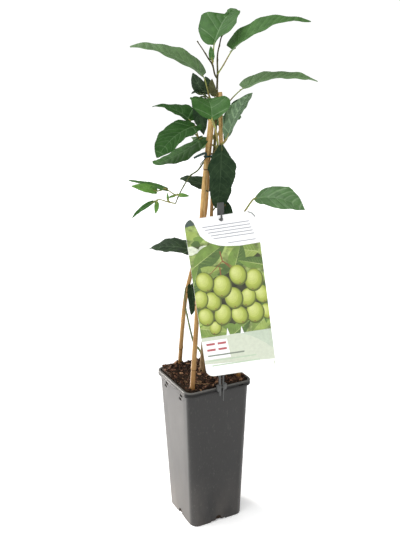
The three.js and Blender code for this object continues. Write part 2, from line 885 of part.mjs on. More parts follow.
// The stick, in the pot's own frame: a bar up from a clip on the rim, with a peg through the card's hole
const STICK_WIDTH = 10;
const STICK_THICKNESS = 1.8;
const STICK_FRONT = -58.6;
const STICK_TOP = 507;
const CLIP_WIDTH = 11;
const CLIP_DROP = 27;
const CLIP_WALL = 1.4;
const CLIP_STEP = 6;
const CLIP_CROWN = 1.6;
const CLIP_TONGUE = 2.6;
const PEG_SIDES = 10;
const PEG_RADIUS = 1.7;
const PEG_HEAD_RADIUS = 3.1;
const PEG_HEAD_DEPTH = 1.2;
const PEG_REACH = 3.7;

function block(x0, x1, y0, y1, z0, z1) {
  const box = new THREE.BoxGeometry(x1 - x0, y1 - y0, z1 - z0);
  return solid(box.translate((x0 + x1) / 2, (y0 + y1) / 2, (z0 + z1) / 2));
}

function stickBody(hole) {
  const half = STICK_WIDTH / 2;
  const clip = CLIP_WIDTH / 2;
  const rimFront = -RIM_SIZE / 2 - CLEARANCE;
  const back = STICK_FRONT + STICK_THICKNESS;
  const wallInside = -wallSize(BAND_LEVEL) / 2 + POT_WALL + CLEARANCE;
  const over = POT_HEIGHT + CLEARANCE;
  const foot = POT_HEIGHT - CLIP_DROP;
  const pegFront = hole.y - PEG_REACH;
  const pegBack = (STICK_FRONT + back) / 2;
  const peg = new THREE.CylinderGeometry(PEG_RADIUS, PEG_RADIUS, pegBack - pegFront, PEG_SIDES);
  peg.translate(hole.x, (pegBack + pegFront) / 2, hole.z);
  const head = new THREE.CylinderGeometry(PEG_HEAD_RADIUS, PEG_RADIUS, PEG_HEAD_DEPTH, PEG_SIDES);
  head.translate(hole.x, pegFront + PEG_HEAD_DEPTH / 2, hole.z);
  return geometryOf(join([
    block(-half, half, STICK_FRONT, back, foot, STICK_TOP),
    block(-clip, clip, STICK_FRONT - CLIP_STEP / 6, rimFront, foot + CLIP_STEP, foot + 2 * CLIP_STEP),
    block(-clip, clip, back - 1, rimFront, POT_HEIGHT - RIM_BAND, over + CLIP_CROWN),
    block(-clip, clip, back, wallInside + CLIP_WALL, over, over + CLIP_CROWN),
    block(-clip, clip, wallInside, wallInside + CLIP_WALL, over - CLIP_TONGUE, over + 1),
    solid(peg),
    solid(head),
  ]));
}

// Everything put together
const part = new THREE.Group();
part.add(mesh('pot', potBody(), 0x4a4a49, 0.42));

const fatCanes = () => CANES.map((cane) => caneBody(cane, CLEARANCE));
const clearOfLimbs = join([...fatCanes(), trunkBody(CLEARANCE), leaderBody(CLEARANCE)].map(solid));

const turned = new THREE.Matrix4().makeRotationZ(PLANT_TURN);
const footRoom = new THREE.CylinderGeometry(FOOT_ROOM_RADIUS, FOOT_ROOM_RADIUS, FOOT_ROOM_HEIGHT, 12);
footRoom.rotateX(Math.PI / 2);
const [footX, footY, footLevel] = TRUNK_PATH[0];
footRoom.translate(footX, footY, footLevel - CLEARANCE + FOOT_ROOM_HEIGHT / 2);
const soilCuts = join([...fatCanes(), footRoom].map((geometry) => solid(geometry.applyMatrix4(turned))));
part.add(mesh('soil', soilBody(soilCuts), 0x3a2a20, 0.95));

const plant = new THREE.Group();
plant.rotation.z = PLANT_TURN;
part.add(plant);

for (const cane of CANES) {
  const others = CANES.filter((other) => other.radius > cane.radius);
  let body = solid(caneBody(cane));
  for (const other of others) {
    body = body.subtract(solid(caneBody(other, CLEARANCE)));
  }
  plant.add(mesh(cane.name, geometryOf(body), 0xc8975a, 0.5));
}

plant.add(mesh('trunk', trunkBody(), 0x6b5237, 0.85));
plant.add(mesh('leader', leaderBody(), 0x5d5a35, 0.7));
const shootsFat = [];
for (const [name, shoot] of Object.entries(SHOOTS)) {
  const cuts = join([clearOfLimbs, ...shootsFat]);
  plant.add(mesh(name, geometryOf(largest(solid(shootBody(shoot)).subtract(cuts))), 0x4c4a34, 0.7));
  shootsFat.push(solid(shootBody(shoot, CLEARANCE)));
}

const bundle = CANES.map((cane) => rodAt(cane.path, cane.radius, TIE_LEVEL));
const tie = largest(tieBody(bundle).subtract(clearOfLimbs));
plant.add(mesh('cane_tie', geometryOf(tie), 0x24423f, 0.6));

const random = seeded(5);
let taken = join([clearOfLimbs, ...shootsFat, tieBody(bundle, CLEARANCE)]);
for (const spray of SPRAYS) {
  plant.add(mesh(spray.name, sprayBody(spray, taken, random), spray.tint, 0.45));
  taken = join([taken, ...sprayStems(spray, CLEARANCE)]);
}
plant.add(cardGroup());

const hole = point(...CARD_HOLE).applyMatrix4(turned);
part.add(mesh('label_stick', stickBody(hole), 0x6a6c6c, 0.5));

export default part;
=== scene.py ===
import random
from itertools import pairwise
from math import atan2, copysign, cos, exp, hypot, pi, radians, sin, sqrt
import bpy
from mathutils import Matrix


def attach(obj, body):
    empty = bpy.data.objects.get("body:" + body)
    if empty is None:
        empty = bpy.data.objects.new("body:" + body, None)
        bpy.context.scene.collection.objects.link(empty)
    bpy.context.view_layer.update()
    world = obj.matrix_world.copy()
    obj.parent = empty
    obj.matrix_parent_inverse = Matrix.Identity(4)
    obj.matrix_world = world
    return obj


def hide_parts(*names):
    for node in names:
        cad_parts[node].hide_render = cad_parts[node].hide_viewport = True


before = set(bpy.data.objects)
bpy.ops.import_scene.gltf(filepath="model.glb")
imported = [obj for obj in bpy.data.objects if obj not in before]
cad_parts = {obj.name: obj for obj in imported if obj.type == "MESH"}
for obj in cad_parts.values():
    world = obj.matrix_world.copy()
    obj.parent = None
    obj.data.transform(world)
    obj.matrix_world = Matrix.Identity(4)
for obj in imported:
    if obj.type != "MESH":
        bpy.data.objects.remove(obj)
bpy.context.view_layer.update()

from types import SimpleNamespace

import bpy
import bmesh
from mathutils import Matrix, Vector, noise

# A young hardy kiwi vine in its tall square pot, tied to three bamboo canes, with a hanging label card.
# Lengths are in millimetres until a mesh is made, and shares run from 0 to 1. The plant, canes and card
# have a frame of their own, turned about the pot's middle: +X to the right of the vine's best side and
# -Y towards whoever looks at it.

MM = 0.001
UPRIGHT = Matrix.Identity(3)
PLANT_TURN = Matrix.Rotation(radians(-27), 3, "Z")
FULL_TURN = 2 * pi

POT_HEIGHT = 232
POT_FLOOR = 2.4
POT_WALL = 1.2
BAND_LEVEL = 224
FOOT_SIZE = 88
TOP_SIZE = 102.5
CLEARANCE = 0.3


def mix(first, second, share):
    return first + (second - first) * share


def hump(off):
    """A smooth hump, 1 in the middle and almost nothing two steps off."""
    return exp(-off * off)


def around(count):
    """Angles at even steps round a circle."""
    return [FULL_TURN * k / count for k in range(count)]


def spoke(angle, reach, rise=None):
    """The end of a spoke at an angle on a circle, or on an oval of another height."""
    return reach * cos(angle), (reach if rise is None else rise) * sin(angle)


def rounded(width, height, corner, steps=10):
    """A rectangle with round corners, anticlockwise from its right edge."""
    ring = []
    for quarter, (x, y) in enumerate(((1, 1), (-1, 1), (-1, -1), (1, -1))):
        for step in range(steps + 1):
            dx, dy = spoke((quarter + step / steps) * pi / 2, corner)
            ring.append((x * (width / 2 - corner) + dx, y * (height / 2 - corner) + dy))
    return ring


def colour(red, green, blue):
    """A screen colour from 0 to 255 as the shader takes it."""
    def straight(level):
        level /= 255
        return level / 12.92 if level < 0.04045 else ((level + 0.055) / 1.055) ** 2.4
    return (straight(red), straight(green), straight(blue), 1)


def shade(tone, amount):
    """The same tone, darker below 1 and lighter above it."""
    return (*(min(1, level * amount) for level in tone[:3]), 1)


def between(tone, other, share):
    return tuple(mix(a, b, share) for a, b in zip(tone, other))


# Shapes

CURVE_STEPS = 30


def linked(name, data):
    """A new object of the scene."""
    made = bpy.data.objects.new(name, data)
    bpy.context.collection.objects.link(made)
    return made


class Shape:
    """Points and faces, each face with the number of its finish."""

    def __init__(self, turn=PLANT_TURN):
        self.turn = turn
        self.points = []
        self.faces = []
        self.finishes = []

    def add(self, points):
        first = len(self.points)
        self.points.extend(Vector(p) for p in points)
        return list(range(first, len(self.points)))

    def face(self, corners, finish=0):
        self.faces.append(corners)
        self.finishes.append(finish)

    def strip(self, low, high, finish=0):
        """Faces between two rings of the same number of corners."""
        for i in range(len(low)):
            j = (i + 1) % len(low)
            self.face((low[i], low[j], high[j], high[i]), finish)

    def loft(self, rings, finish=0, finish_at=None, capped=True):
        """A closed body over a run of rings, which turn anticlockwise about the way from first to last."""
        rows = [self.add(ring) for ring in rings]
        for row, (low, high) in enumerate(pairwise(rows)):
            self.strip(low, high, finish_at(row) if finish_at else finish)
        if capped:
            self.face(rows[0][::-1], finish)
            self.face(rows[-1], finish)
        else:
            self.strip(rows[-1], rows[0], finish)

    def mesh(self, name, finishes, crease=40):
        """Smooth, with every edge left sharp that folds by more than the crease, in degrees."""
        mesh = bpy.data.meshes.new(name)
        mesh.from_pydata([self.turn @ p * MM for p in self.points], [], self.faces)
        for finish in finishes:
            mesh.materials.append(finish.material)
        mesh.polygons.foreach_set("material_index", self.finishes)
        mesh.shade_smooth()
        mesh.set_sharp_from_angle(angle=radians(crease))
        mesh.update()
        return mesh

    def made(self, name, finishes, nodes, crease=40):
        """The finished piece, riding on the part in place of the plain nodes."""
        piece = linked(name, self.mesh(name, finishes, crease))
        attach(piece, "root")
        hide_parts(*nodes)
        return piece


def settle(piece, crease=50):
    """Works the piece's modifiers into its mesh."""
    seen = piece.evaluated_get(bpy.context.evaluated_depsgraph_get())
    mesh = bpy.data.meshes.new_from_object(seen)
    piece.modifiers.clear()
    piece.data = mesh
    mesh.set_sharp_from_angle(angle=radians(crease))


def spots_along(points, pitch):
    """Evenly spaced spots, about a pitch apart, on the smooth curve through the points."""
    points = [Vector(p) for p in points]
    ends = [2 * points[0] - points[1], *points, 2 * points[-1] - points[-2]]
    fine = [points[0]]
    for p0, p1, p2, p3 in zip(ends, ends[1:], ends[2:], ends[3:]):
        d0, d1, d2 = ((a - b).length ** 0.5 for a, b in ((p1, p0), (p2, p1), (p3, p2)))
        t1 = ((p1 - p0) / d0 - (p2 - p0) / (d0 + d1) + (p2 - p1) / d1) * d1
        t2 = ((p2 - p1) / d1 - (p3 - p1) / (d1 + d2) + (p3 - p2) / d2) * d1
        for step in range(1, CURVE_STEPS + 1):
            w = step / CURVE_STEPS
            fine.append(p1 + t1 * w + (3 * (p2 - p1) - 2 * t1 - t2) * w ** 2
                        + (2 * (p1 - p2) + t1 + t2) * w ** 3)
    lengths = [0]
    for a, b in pairwise(fine):
        lengths.append(lengths[-1] + (b - a).length)
    count = max(3, round(lengths[-1] / pitch))
    spots = []
    at = 0
    for step in range(count + 1):
        goal = lengths[-1] * step / count
        while at < len(fine) - 2 and lengths[at + 1] < goal:
            at += 1
        share = (goal - lengths[at]) / (lengths[at + 1] - lengths[at])
        spots.append(fine[at].lerp(fine[at + 1], share))
    return spots


def tube(shape, spots, radius_at, sides=10, finish=0, finish_at=None, relief=None, flat=1, bore=0):
    """A limb along the spots; relief(way, angle) is added to its radius, and bore hollows its end."""
    normal = (spots[1] - spots[0]).normalized().orthogonal().normalized()
    last = len(spots) - 1
    length = 0
    rings = []
    for row, centre in enumerate(spots):
        if row:
            length += (centre - spots[row - 1]).length
        way = (spots[min(row + 1, last)] - spots[max(row - 1, 0)]).normalized()
        normal = (normal - way * normal.dot(way)).normalized()
        across = way.cross(normal)
        ring = []
        for angle in around(sides):
            reach = radius_at(row / last) + (relief(length, angle) if relief else 0)
            ring.append(centre + normal * reach * cos(angle)
                        + across * reach * flat * sin(angle))
        rings.append(ring)
    if bore:
        rings.append([p.lerp(centre, 1 - bore) for p in rings[-1]])
        rings.append([p - way * radius_at(1) for p in rings[-1]])
    shape.loft(rings, finish, finish_at)


# Finishes


class Value:
    """A number that a graph works out; a sum on it adds a Math node."""

    def __init__(self, graph, socket):
        self.graph = graph
        self.socket = socket

    def maths(self, operation, other):
        return self.graph.node("ShaderNodeMath", {"operation": operation}, {0: self, 1: other})

    def __add__(self, other):
        return self.maths("ADD", other)

    def __mul__(self, other):
        return self.maths("MULTIPLY", other)

    __radd__ = __add__
    __rmul__ = __mul__


class Graph:
    """A tree of shader nodes, of a finish or of the studio's own light."""

    def __init__(self, tree):
        self.tree = tree

    def node(self, kind, settings=None, inputs=None, output=0):
        made = self.tree.nodes.new(kind)
        for key, value in (settings or {}).items():
            setattr(made, key, value)
        for key, value in (inputs or {}).items():
            self.feed(made.inputs[key], value)
        return Value(self, made.outputs[output])

    def feed(self, socket, value):
        if isinstance(value, Value):
            self.tree.links.new(value.socket, socket)
        else:
            socket.default_value = value

    def range(self, value, low, high, to_low=0, to_high=1):
        """The value carried from one range to another, held at its ends."""
        return self.node("ShaderNodeMapRange", None, {0: value, 1: low, 2: high, 3: to_low, 4: to_high})

    def rise(self, low, high, to_low=0, to_high=1, place="Object"):
        """A range over the height in metres, or for the studio over how steeply a way points up."""
        spot = self.node("ShaderNodeTexCoord", output=place)
        up = self.node("ShaderNodeSeparateXYZ", None, {0: spot}, "Z")
        return self.range(up, low, high, to_low, to_high)


class Finish(Graph):
    """A finish of the part: constants on the shader's own sockets, and patterns fed to it."""

    def __init__(self, name, tone, gloss=0.5):
        self.material = bpy.data.materials.new(name)
        self.material.use_nodes = True
        super().__init__(self.material.node_tree)
        self.shader = self.tree.nodes["Principled BSDF"]
        self.material.diffuse_color = tone
        self.tone = tone
        self.paint("Base Color", tone)
        self.paint("Specular IOR Level", gloss)

    def paint(self, label, value):
        self.feed(self.shader.inputs[label], value)

    def grain(self, size, low=0, high=1, stretch=(1, 1, 1), detail=2, rough=0.5):
        """Lumps about size across, longer where stretch is above 1: 0 at the noise's low, 1 at its high."""
        place = self.node("ShaderNodeTexCoord", output="Object")
        scale = [1 / (size * MM * times) for times in stretch]
        spot = self.node("ShaderNodeVectorMath", {"operation": "MULTIPLY"}, {0: place, 1: scale})
        lumps = self.node("ShaderNodeTexNoise", None, {
            "Vector": spot, "Scale": 1, "Detail": detail, "Roughness": rough})
        return lumps if (low, high) == (0, 1) else self.range(lumps, low, high)

    def blend(self, share, first, second):
        return self.node("ShaderNodeMix", {"data_type": "RGBA"}, {0: share, 6: first, 7: second}, 2)

    def tint(self, share, dark, light):
        """The finish's tone, darker or lighter by a pattern's share."""
        return self.blend(share, shade(self.tone, dark), shade(self.tone, light))

    def coat(self, base, share, at_low, at_high):
        """The colour, and a roughness carried from one value to another by a pattern's share."""
        self.paint("Base Color", base)
        self.paint("Roughness", self.range(share, 0, 1, at_low, at_high))

    def island(self):
        """A number from 0 to 1 that each loose body of the mesh has to itself."""
        return self.node("ShaderNodeNewGeometry", output="Random Per Island")

    def bump(self, height, depth, strength=0.6):
        """Relief of the surface, its depth in millimetres."""
        self.paint("Normal", self.node("ShaderNodeBump", None, {
            "Height": height, "Distance": depth * MM, "Strength": strength}))


# The leaves: their finishes, each spray's place and form, and how a blade grows from them

LEAF_LIGHT = colour(150, 176, 120)
VEIN_PALE = colour(160, 190, 146)
# Upper side, underside, then how pale the veins are, the roughness and the gloss. The two darkest tones,
# and the one named shaded, are leaf green darkened as painted shade for leaves that sit in shadow.
LEAF_TONES = {
    "fresh": ((54, 98, 38), (112, 138, 92), 0.3, 0.45, 0.25),
    "green": ((44, 88, 32), (100, 126, 84), 0.2, 0.5, 0.12),
    "light": ((66, 105, 51), (100, 126, 84), 0.2, 0.5, 0.12),
    # A greyed leaf green that stands in for sheen: painted reflection.
    "silver": ((92, 124, 77), (94, 118, 84), 0.32, 0.42, 0.3),
    "rich": ((24, 68, 14), (96, 122, 80), 0.18, 0.5, 0.08),
    "dusk": ((38, 58, 38), (72, 92, 68), 0.2, 0.5, 0.2),
    "deep": ((28, 49, 33), (66, 86, 62), 0.07, 0.6, 0.04),
    "young": ((98, 144, 62), (124, 154, 84), 0.15, 0.45, 0.2),
    "bronze": ((80, 78, 46), (86, 88, 56), 0.1, 0.5, 0.2),
    "veined": ((80, 118, 67), (94, 120, 90), 0.36, 0.36, 0.4),
    "shaded": ((52, 84, 50), (70, 98, 62), 0.5, 0.45, 0.25),
}
SHADED_TONES = ("deep", "dusk")
OVATE = (0.38, 0.8)
OBOVATE = (0.85, 0.65)
BLUNT = (0.19, 0.7)
POINTED = (0.62, 0.8)
PLAIN_LEAF = {
    "arch": 0.12, "fold": 0.18, "bend": 0, "skew": 0, "curl": 0, "shape": OVATE, "lobe": 0.05,
    "stout": 1, "bumps": [], "quilt": 1, "stripe": False, "tone": None,
}


def leaf_finish(name, tone, rough, gloss, pits=0.25, spread=0.2):
    """One side of a leaf: mottled, each leaf a little darker or lighter, with a fine pitted skin."""
    made = Finish(name, tone, gloss)
    cloud = made.grain(11, 0.32, 0.68, detail=3)
    mottle = made.grain(2.6, 0.3, 0.7, detail=3)
    share = cloud * 0.5 + mottle * 0.25 + made.island() * 0.25
    light = between(shade(tone, 1 + spread * 1.3), LEAF_LIGHT, spread * 0.4)
    base = made.blend(share, shade(tone, 1 - spread * 1.5), light)
    made.coat(base, mottle, rough - 0.06, rough + 0.08)
    made.bump(made.grain(1.4, detail=3), pits)
    return made


def leaf_finishes(name, upper, under, vein, rough, gloss):
    """The finishes of a leaf's upper side and its veins, and of its underside and the veins there."""
    return [
        leaf_finish(name + "_upper", upper, rough, gloss),
        leaf_finish(name + "_upper_vein", between(upper, VEIN_PALE, vein), rough, gloss),
        leaf_finish(name + "_under", under, 0.6, 0.2, 0.12),
        leaf_finish(name + "_under_vein", between(under, VEIN_PALE, 0.3), 0.55, 0.2, 0.12),
    ]


def leaf(stalk, base, tip, width, face, **form):
    """One leaf. Its form may give lobe, how far its base reaches back; bumps in its margin, each a share
    of the length, a side and a height; quilt, how deeply it is quilted; stripe, a paler band of painted
    sheen along each side vein; stout, how thick its stalk is; and a tone of its own."""
    return SimpleNamespace(**{**PLAIN_LEAF, **form}, stalk=stalk, base=Vector(base), tip=Vector(tip),
                           width=width, face=Vector(face))


def spray(name, tone, *leaves, twig=None, radii=(1, 1)):
    return SimpleNamespace(name=name, tone=tone, leaves=leaves, twig=twig, radii=radii)


SPRAYS = [
    spray(
        "leaves_crown", "fresh",
        leaf([(18.6, -0.5, 690), (19.5, -1, 700)], (20.5, -2, 712), (52, 45, 760), 51,
            (-0.34, -0.8, 0.48), shape=(0.38, 0.5), bumps=[(0.69, 1, -20), (0.8, 1, -14), (0.9, 1, -9),
            (0.06, -1, -9), (0.16, -1, -8), (0.92, -1, -4)], arch=0.13, fold=0.2, skew=0.2),
        leaf([(18.6, -0.5, 690)], (17.5, -1.5, 693), (16, -3, 711), 8, (0, -1, 0)),
        twig=[(18.2, 0, 686), (18.8, -0.7, 693)], radii=(1.1, 1)),
    spray(
        "leaves_top_right", "light",
        leaf([(25, 3, 674), (32, 2, 684)], (45.4, 0, 705.2), (148.7, -8, 742.1), 40.5,
            (-0.12, -0.36, 0.93), shape=BLUNT, lobe=0.06, bumps=[(0.13, 1, 3), (0.22, 1, 2)],
            arch=0.126, fold=0.22, skew=0.24, curl=0.02)),
    spray(
        "leaves_top_left", "silver",
        leaf([(23, 3, 626), (14, -1, 642), (10, -4, 658)], (5.1, -5, 672), (-91.4, -17, 711.8), 39,
            (0.03, -0.42, 0.9), shape=BLUNT, lobe=0.04, arch=0.121, fold=0.22, bend=0.03, skew=-0.08)),
    spray(
        "leaves_upper_right", "silver",
        leaf([(22.8, 3, 618), (30.8, -3, 624), (44, -1, 641)], (59.6, 0, 654.5), (160.4, -9, 662.3),
            41.5, (0, -0.25, 0.97), shape=BLUNT, lobe=0.06, quilt=1.5, arch=0.106, fold=0.2, skew=0.05)),
    spray(
        "leaves_underside_right", "shaded",
        leaf([(27, -7, 578), (31, -7, 580)], (36.5, -6, 586), (72, -14, 649.4), 40, (-0.7, 0.52, 0.48),
            arch=0.044, bend=-0.09, shape=OBOVATE),
        leaf([(27, -7, 578), (32, -10, 583)], (37, -14, 591), (65.7, -22, 648.3), 34,
            (-0.62, 0.62, 0.48), tone="veined", quilt=1.4, stripe=True, skew=-0.15, arch=0.05,
            shape=(0.75, 0.9)),
        twig=[(20.5, 3, 577), (24, -5, 577), (28, -7, 578)], radii=(1.3, 1.1)),
    spray(
        "leaves_centre", "fresh",
        leaf([(19.4, 3, 567), (24, -7, 576), (22, -24, 597), (18.5, -37, 611)], (16.1, -40, 617),
            (9.1, -7, 642.2), 55, (0.17, -0.62, 0.77), stout=1.5, shape=(0.45, 0.5), skew=0.065,
            arch=0.16, fold=0.3, bend=-0.025)),
    spray(
        "leaves_dark_upper", "dusk",
        leaf([(8, 12, 645)], (7, 12, 649), (-9, 10, 676), 20, (-0.5, -0.8, 0.3)),
        leaf([(15, 9, 640)], (13, 10, 648), (8.5, 8, 671), 16, (0.3, -0.9, 0.2)),
        leaf([(21, 4, 637)], (21, 6, 645), (17.5, 7, 668), 11, (-0.4, -0.9, 0.1), fold=0.4,
            tone="bronze"),
        leaf([(9, 11.5, 644)], (3, 9, 648), (-12, 7, 647.5), 9, (0, -0.4, 0.9), fold=0.5),
        twig=[(23.2, 3, 636), (15, 9, 640), (8, 12, 645)], radii=(1.3, 1)),
    spray(
        "leaves_dark_middle", "deep",
        leaf([(23, 3, 631), (12, 10, 639), (4, 13, 644)], (-1, 14, 641), (5.6, 11.8, 590.6), 27.5,
            (-0.66, -0.68, 0.32), arch=0.1, fold=0.05, bend=0.03, skew=0.13)),
    spray(
        "leaves_left", "rich",
        leaf([(4, 14, 583), (3, 8, 587)], (3, 0, 588), (-64.9, -27, 557.5), 40, (0, -0.24, 0.97),
            tone="fresh", shape=(0.3, 0.42), arch=-0.07, fold=0.08, skew=0.32),
        leaf([(-3, 7, 589), (-5, -2, 600)], (-5.4, -8, 605.6), (-58.7, -48, 570.3), 49,
            (-0.38, -0.58, 0.72), shape=(0.38, 0.62), bumps=[(0.75, 1, 3)], arch=0.106, curl=0.036),
        leaf([(-3, 7, 589), (-10, 3, 598), (-14, 6, 606)], (-13, 9, 611), (-67.4, 40, 630.6), 37,
            (0, -0.22, 0.97), shape=(0.3, 1.0), arch=0.065, fold=0.12, bend=-0.077, skew=-0.33,
            curl=0.02),
        twig=[(19.8, 3, 572), (21.8, 11, 574), (16, 17, 577), (6, 16, 582), (-4, 6, 590)],
            radii=(1.4, 1)),
    spray(
        "leaves_hanging", "deep",
        leaf([(23, -8, 569), (27, -13, 578)], (29.5, -14, 577), (25, -12, 490), 38, (0.45, -0.87, 0.2),
            shape=(0.3, 0.5), bumps=[(0.05, -1, -5), (0.3, -1, 3), (0.04, 1, -7), (0.15, 1, -4),
            (0.3, 1, 4), (0.43, 1, 2), (0.57, 1, 2), (0.72, 1, 2), (0.85, 1, 2)], arch=0.062,
            bend=-0.033, curl=0.04),
        twig=[(18.8, 3, 560), (21.5, -6, 566), (26, -11, 573)], radii=(1.3, 1.1)),
    spray(
        "leaves_middle_right", "deep",
        leaf([(14.8, 4, 482), (24, -1, 493)], (33, -4.5, 497), (43, -5, 462), 16, (0.1, -1, 0.1),
            arch=0.03, fold=0.06)),
    spray(
        "leaves_behind_canes", "dusk",
        leaf([(17.6, 3, 540), (18, 12, 530)], (14, 18, 514), (-29.8, 27, 527.7), 38, (0, -0.28, 0.96),
            shape=BLUNT, fold=0.1, arch=0.05, bend=-0.02)),
    spray(
        "leaves_small_left", "young",
        leaf([(-61, -20, 506)], (-62, -21, 503), (-64, -25, 487), 7, (0.3, -1, 0)),
        leaf([(-64, -20, 504)], (-66, -20, 502.8), (-96.4, -30, 482.6), 9, (-0.3, -0.6, 0.7),
            tone="green", arch=0.06, fold=0.3),
        leaf([(-44, -15, 501)], (-46, -16, 503), (-47, -16, 515), 3.5, (0, -1, 0)),
        twig=[(-36, -12, 498.5), (-46.3, -16, 501.7), (-59.3, -20, 506.2), (-65, -20, 503.5)],
            radii=(0.9, 0.7)),
    spray(
        "leaves_tuft_left", "young",
        leaf([(-46, -12, 518)], (-48, -12, 518.5), (-100.3, -25, 534.4), 12, (0, -0.45, 0.9),
            tone="light", shape=BLUNT, bumps=[(0.2, 1, 1.5), (0.45, 1, 2)], arch=0.02),
        leaf([(-49, -13, 520)], (-62, -20, 518), (-95.5, -34, 528), 14, (-0.1, -0.8, 0.6), arch=0.06),
        leaf([(-33, -7, 510.5)], (-31, -10, 510), (-16, -16, 509.5), 6, (0, -1, 0.4)),
        leaf([(-33, -8, 510.5)], (-36, -10, 509.5), (-47, -12, 506.5), 3.5, (0, -1, 0.4)),
        twig=[(-31, -7, 510.6), (-36, -8.5, 510.5), (-44, -11, 516), (-50, -13, 521)], radii=(0.9, 0.7)),
    spray(
        "leaves_right", "veined",
        leaf([(13, 3, 445), (32, 12, 456), (50, 4, 470), (60, -2, 481)], (75.8, -5, 502.6),
            (145.4, -25, 489), 45, (0, -0.55, 0.83), stout=1.5, shape=POINTED, lobe=0, quilt=1.8,
            stripe=True, arch=0.118, bend=0.03)),
    spray(
        "leaves_lower_left", "dusk",
        leaf([(10.5, 2, 412), (0, -4, 420)], (-12, -3, 427), (-76, -2, 430.2), 40, (0, -0.3, 0.95),
            arch=0.088, fold=0.14)),
    spray(
        "leaves_low", "deep",
        leaf([(-25.1, 9, 332.4), (-26, 8, 345), (-24, 4, 368)], (-17, 1, 374), (-17, -3, 328), 18,
            (0.5, -0.85, 0))),
    spray(
        "leaves_back_upper", "green",
        leaf([(25, 20, 590)], (30, 34, 600), (44, 112, 600), 50, (0.1, 0.1, 1)),
        leaf([(25, 20, 590)], (18, 34, 582), (4, 102, 560), 46, (-0.2, 0.2, 1)),
        twig=[(20.6, 3, 580), (24, 14, 588), (26, 26, 592)], radii=(1.4, 1)),
    spray(
        "leaves_back_middle", "rich",
        leaf([(19, 19, 456)], (32, 32, 456), (66, 92, 436), 44, (0.1, 0.3, 1)),
        leaf([(19, 19, 456)], (8, 34, 450), (-8, 98, 428), 44, (-0.2, 0.2, 1)),
        twig=[(13.5, 3, 455), (18, 14, 456), (20, 24, 456)], radii=(1.4, 1)),
    spray(
        "leaves_back_low", "rich",
        leaf([(14, 16, 354)], (34, 24, 362), (86, 56, 344), 44, (0.3, 0.2, 1)),
        leaf([(14, 16, 354)], (12, 34, 350), (10, 96, 322), 42, (0, 0.3, 1)),
        twig=[(5.5, -2, 348), (12, 12, 353), (16, 20, 355)], radii=(1.4, 1)),
]

PETIOLE_RADIUS = 0.95
STALK_IN_BLADE = 5
STALK_PITCH = 1.5
STALK_SWELL, STALK_SWELL_LENGTH = 0.5, 2.2
SMALL_LEAF = 60
# Waves along a margin, and their height as a share of the width.
RIPPLES, RIPPLE = 1.7, 0.03
CRINKLES, CRINKLE = 4.2, 0.018
SWELLS, SWELL = 3.3, 0.02
VEIN_PITCH = 11.5
VEIN_WIDTH = 0.65
VEIN_LEAN, VEIN_LEAN_LIMIT = 1.1, 0.36
VEIN_GROOVE, VEIN_RIDGE, SIDE_RIDGE = 0.15, 0.55, 0.22
STEPS_TO_VEIN = 4
FIRST_VEIN, LAST_VEIN = 0.085, 0.9
MIDRIB_WIDTH = 1.5
BLADE_THICKNESS = 0.5
TOOTH = 0.45
TOOTH_FROM, TOOTH_TO = 0.02, 0.95
QUILT = 1.2
BUMP_SPAN = 0.07
BASE_ROWS = (0.0015, 0.005, 0.012, 0.025, 0.04)
TIP_ROWS = (0.955, 0.97, 0.983, 0.993)
TIP_PUFFS = (0.2, 0.1, 0, 0)
SIDE_COLUMNS = (0, 0.08, 0.22, 0.4, 0.58, 0.76, 0.9, 1)


def outline(share, shape):
    """Half the blade's width at a share of its length, as a share of the widest."""
    belly, point = shape
    peak = belly / (belly + point)
    return share ** belly * (1 - share) ** point / (peak ** belly * (1 - peak) ** point)


def blade_frame(leaf):
    along = leaf.tip - leaf.base
    length = along.length
    along.normalize()
    up = (leaf.face - along * leaf.face.dot(along)).normalized()
    return along, length, up, up.cross(along)


def blade_rows(length, sheen_striped):
    """Shares along the midrib, how far each stands from the side veins, and the strips that are pale: the
    side veins and, on striped leaves, a band of painted sheen beside each.
    """
    pairs = max(3, round(length / VEIN_PITCH))
    half = 0.5 * VEIN_WIDTH / length
    shares = list(BASE_ROWS)
    puffs = [0] * len(shares)
    pale = set()
    start = shares[-1]
    for k in range(pairs):
        middle = mix(FIRST_VEIN, LAST_VEIN, (k / (pairs - 1)) ** 0.95)
        for step in range(1, STEPS_TO_VEIN + 1):
            w = (step / STEPS_TO_VEIN) ** (0.6 if sheen_striped else 1)
            shares.append(mix(start, middle - half, w))
            puffs.append(4 * w * (1 - w))
        pale.update(range(len(shares) - 1 - sheen_striped, len(shares)))
        start = middle + half
        shares.append(start)
        puffs.append(0)
    return [*shares, *TIP_ROWS], [*puffs, *TIP_PUFFS], pale


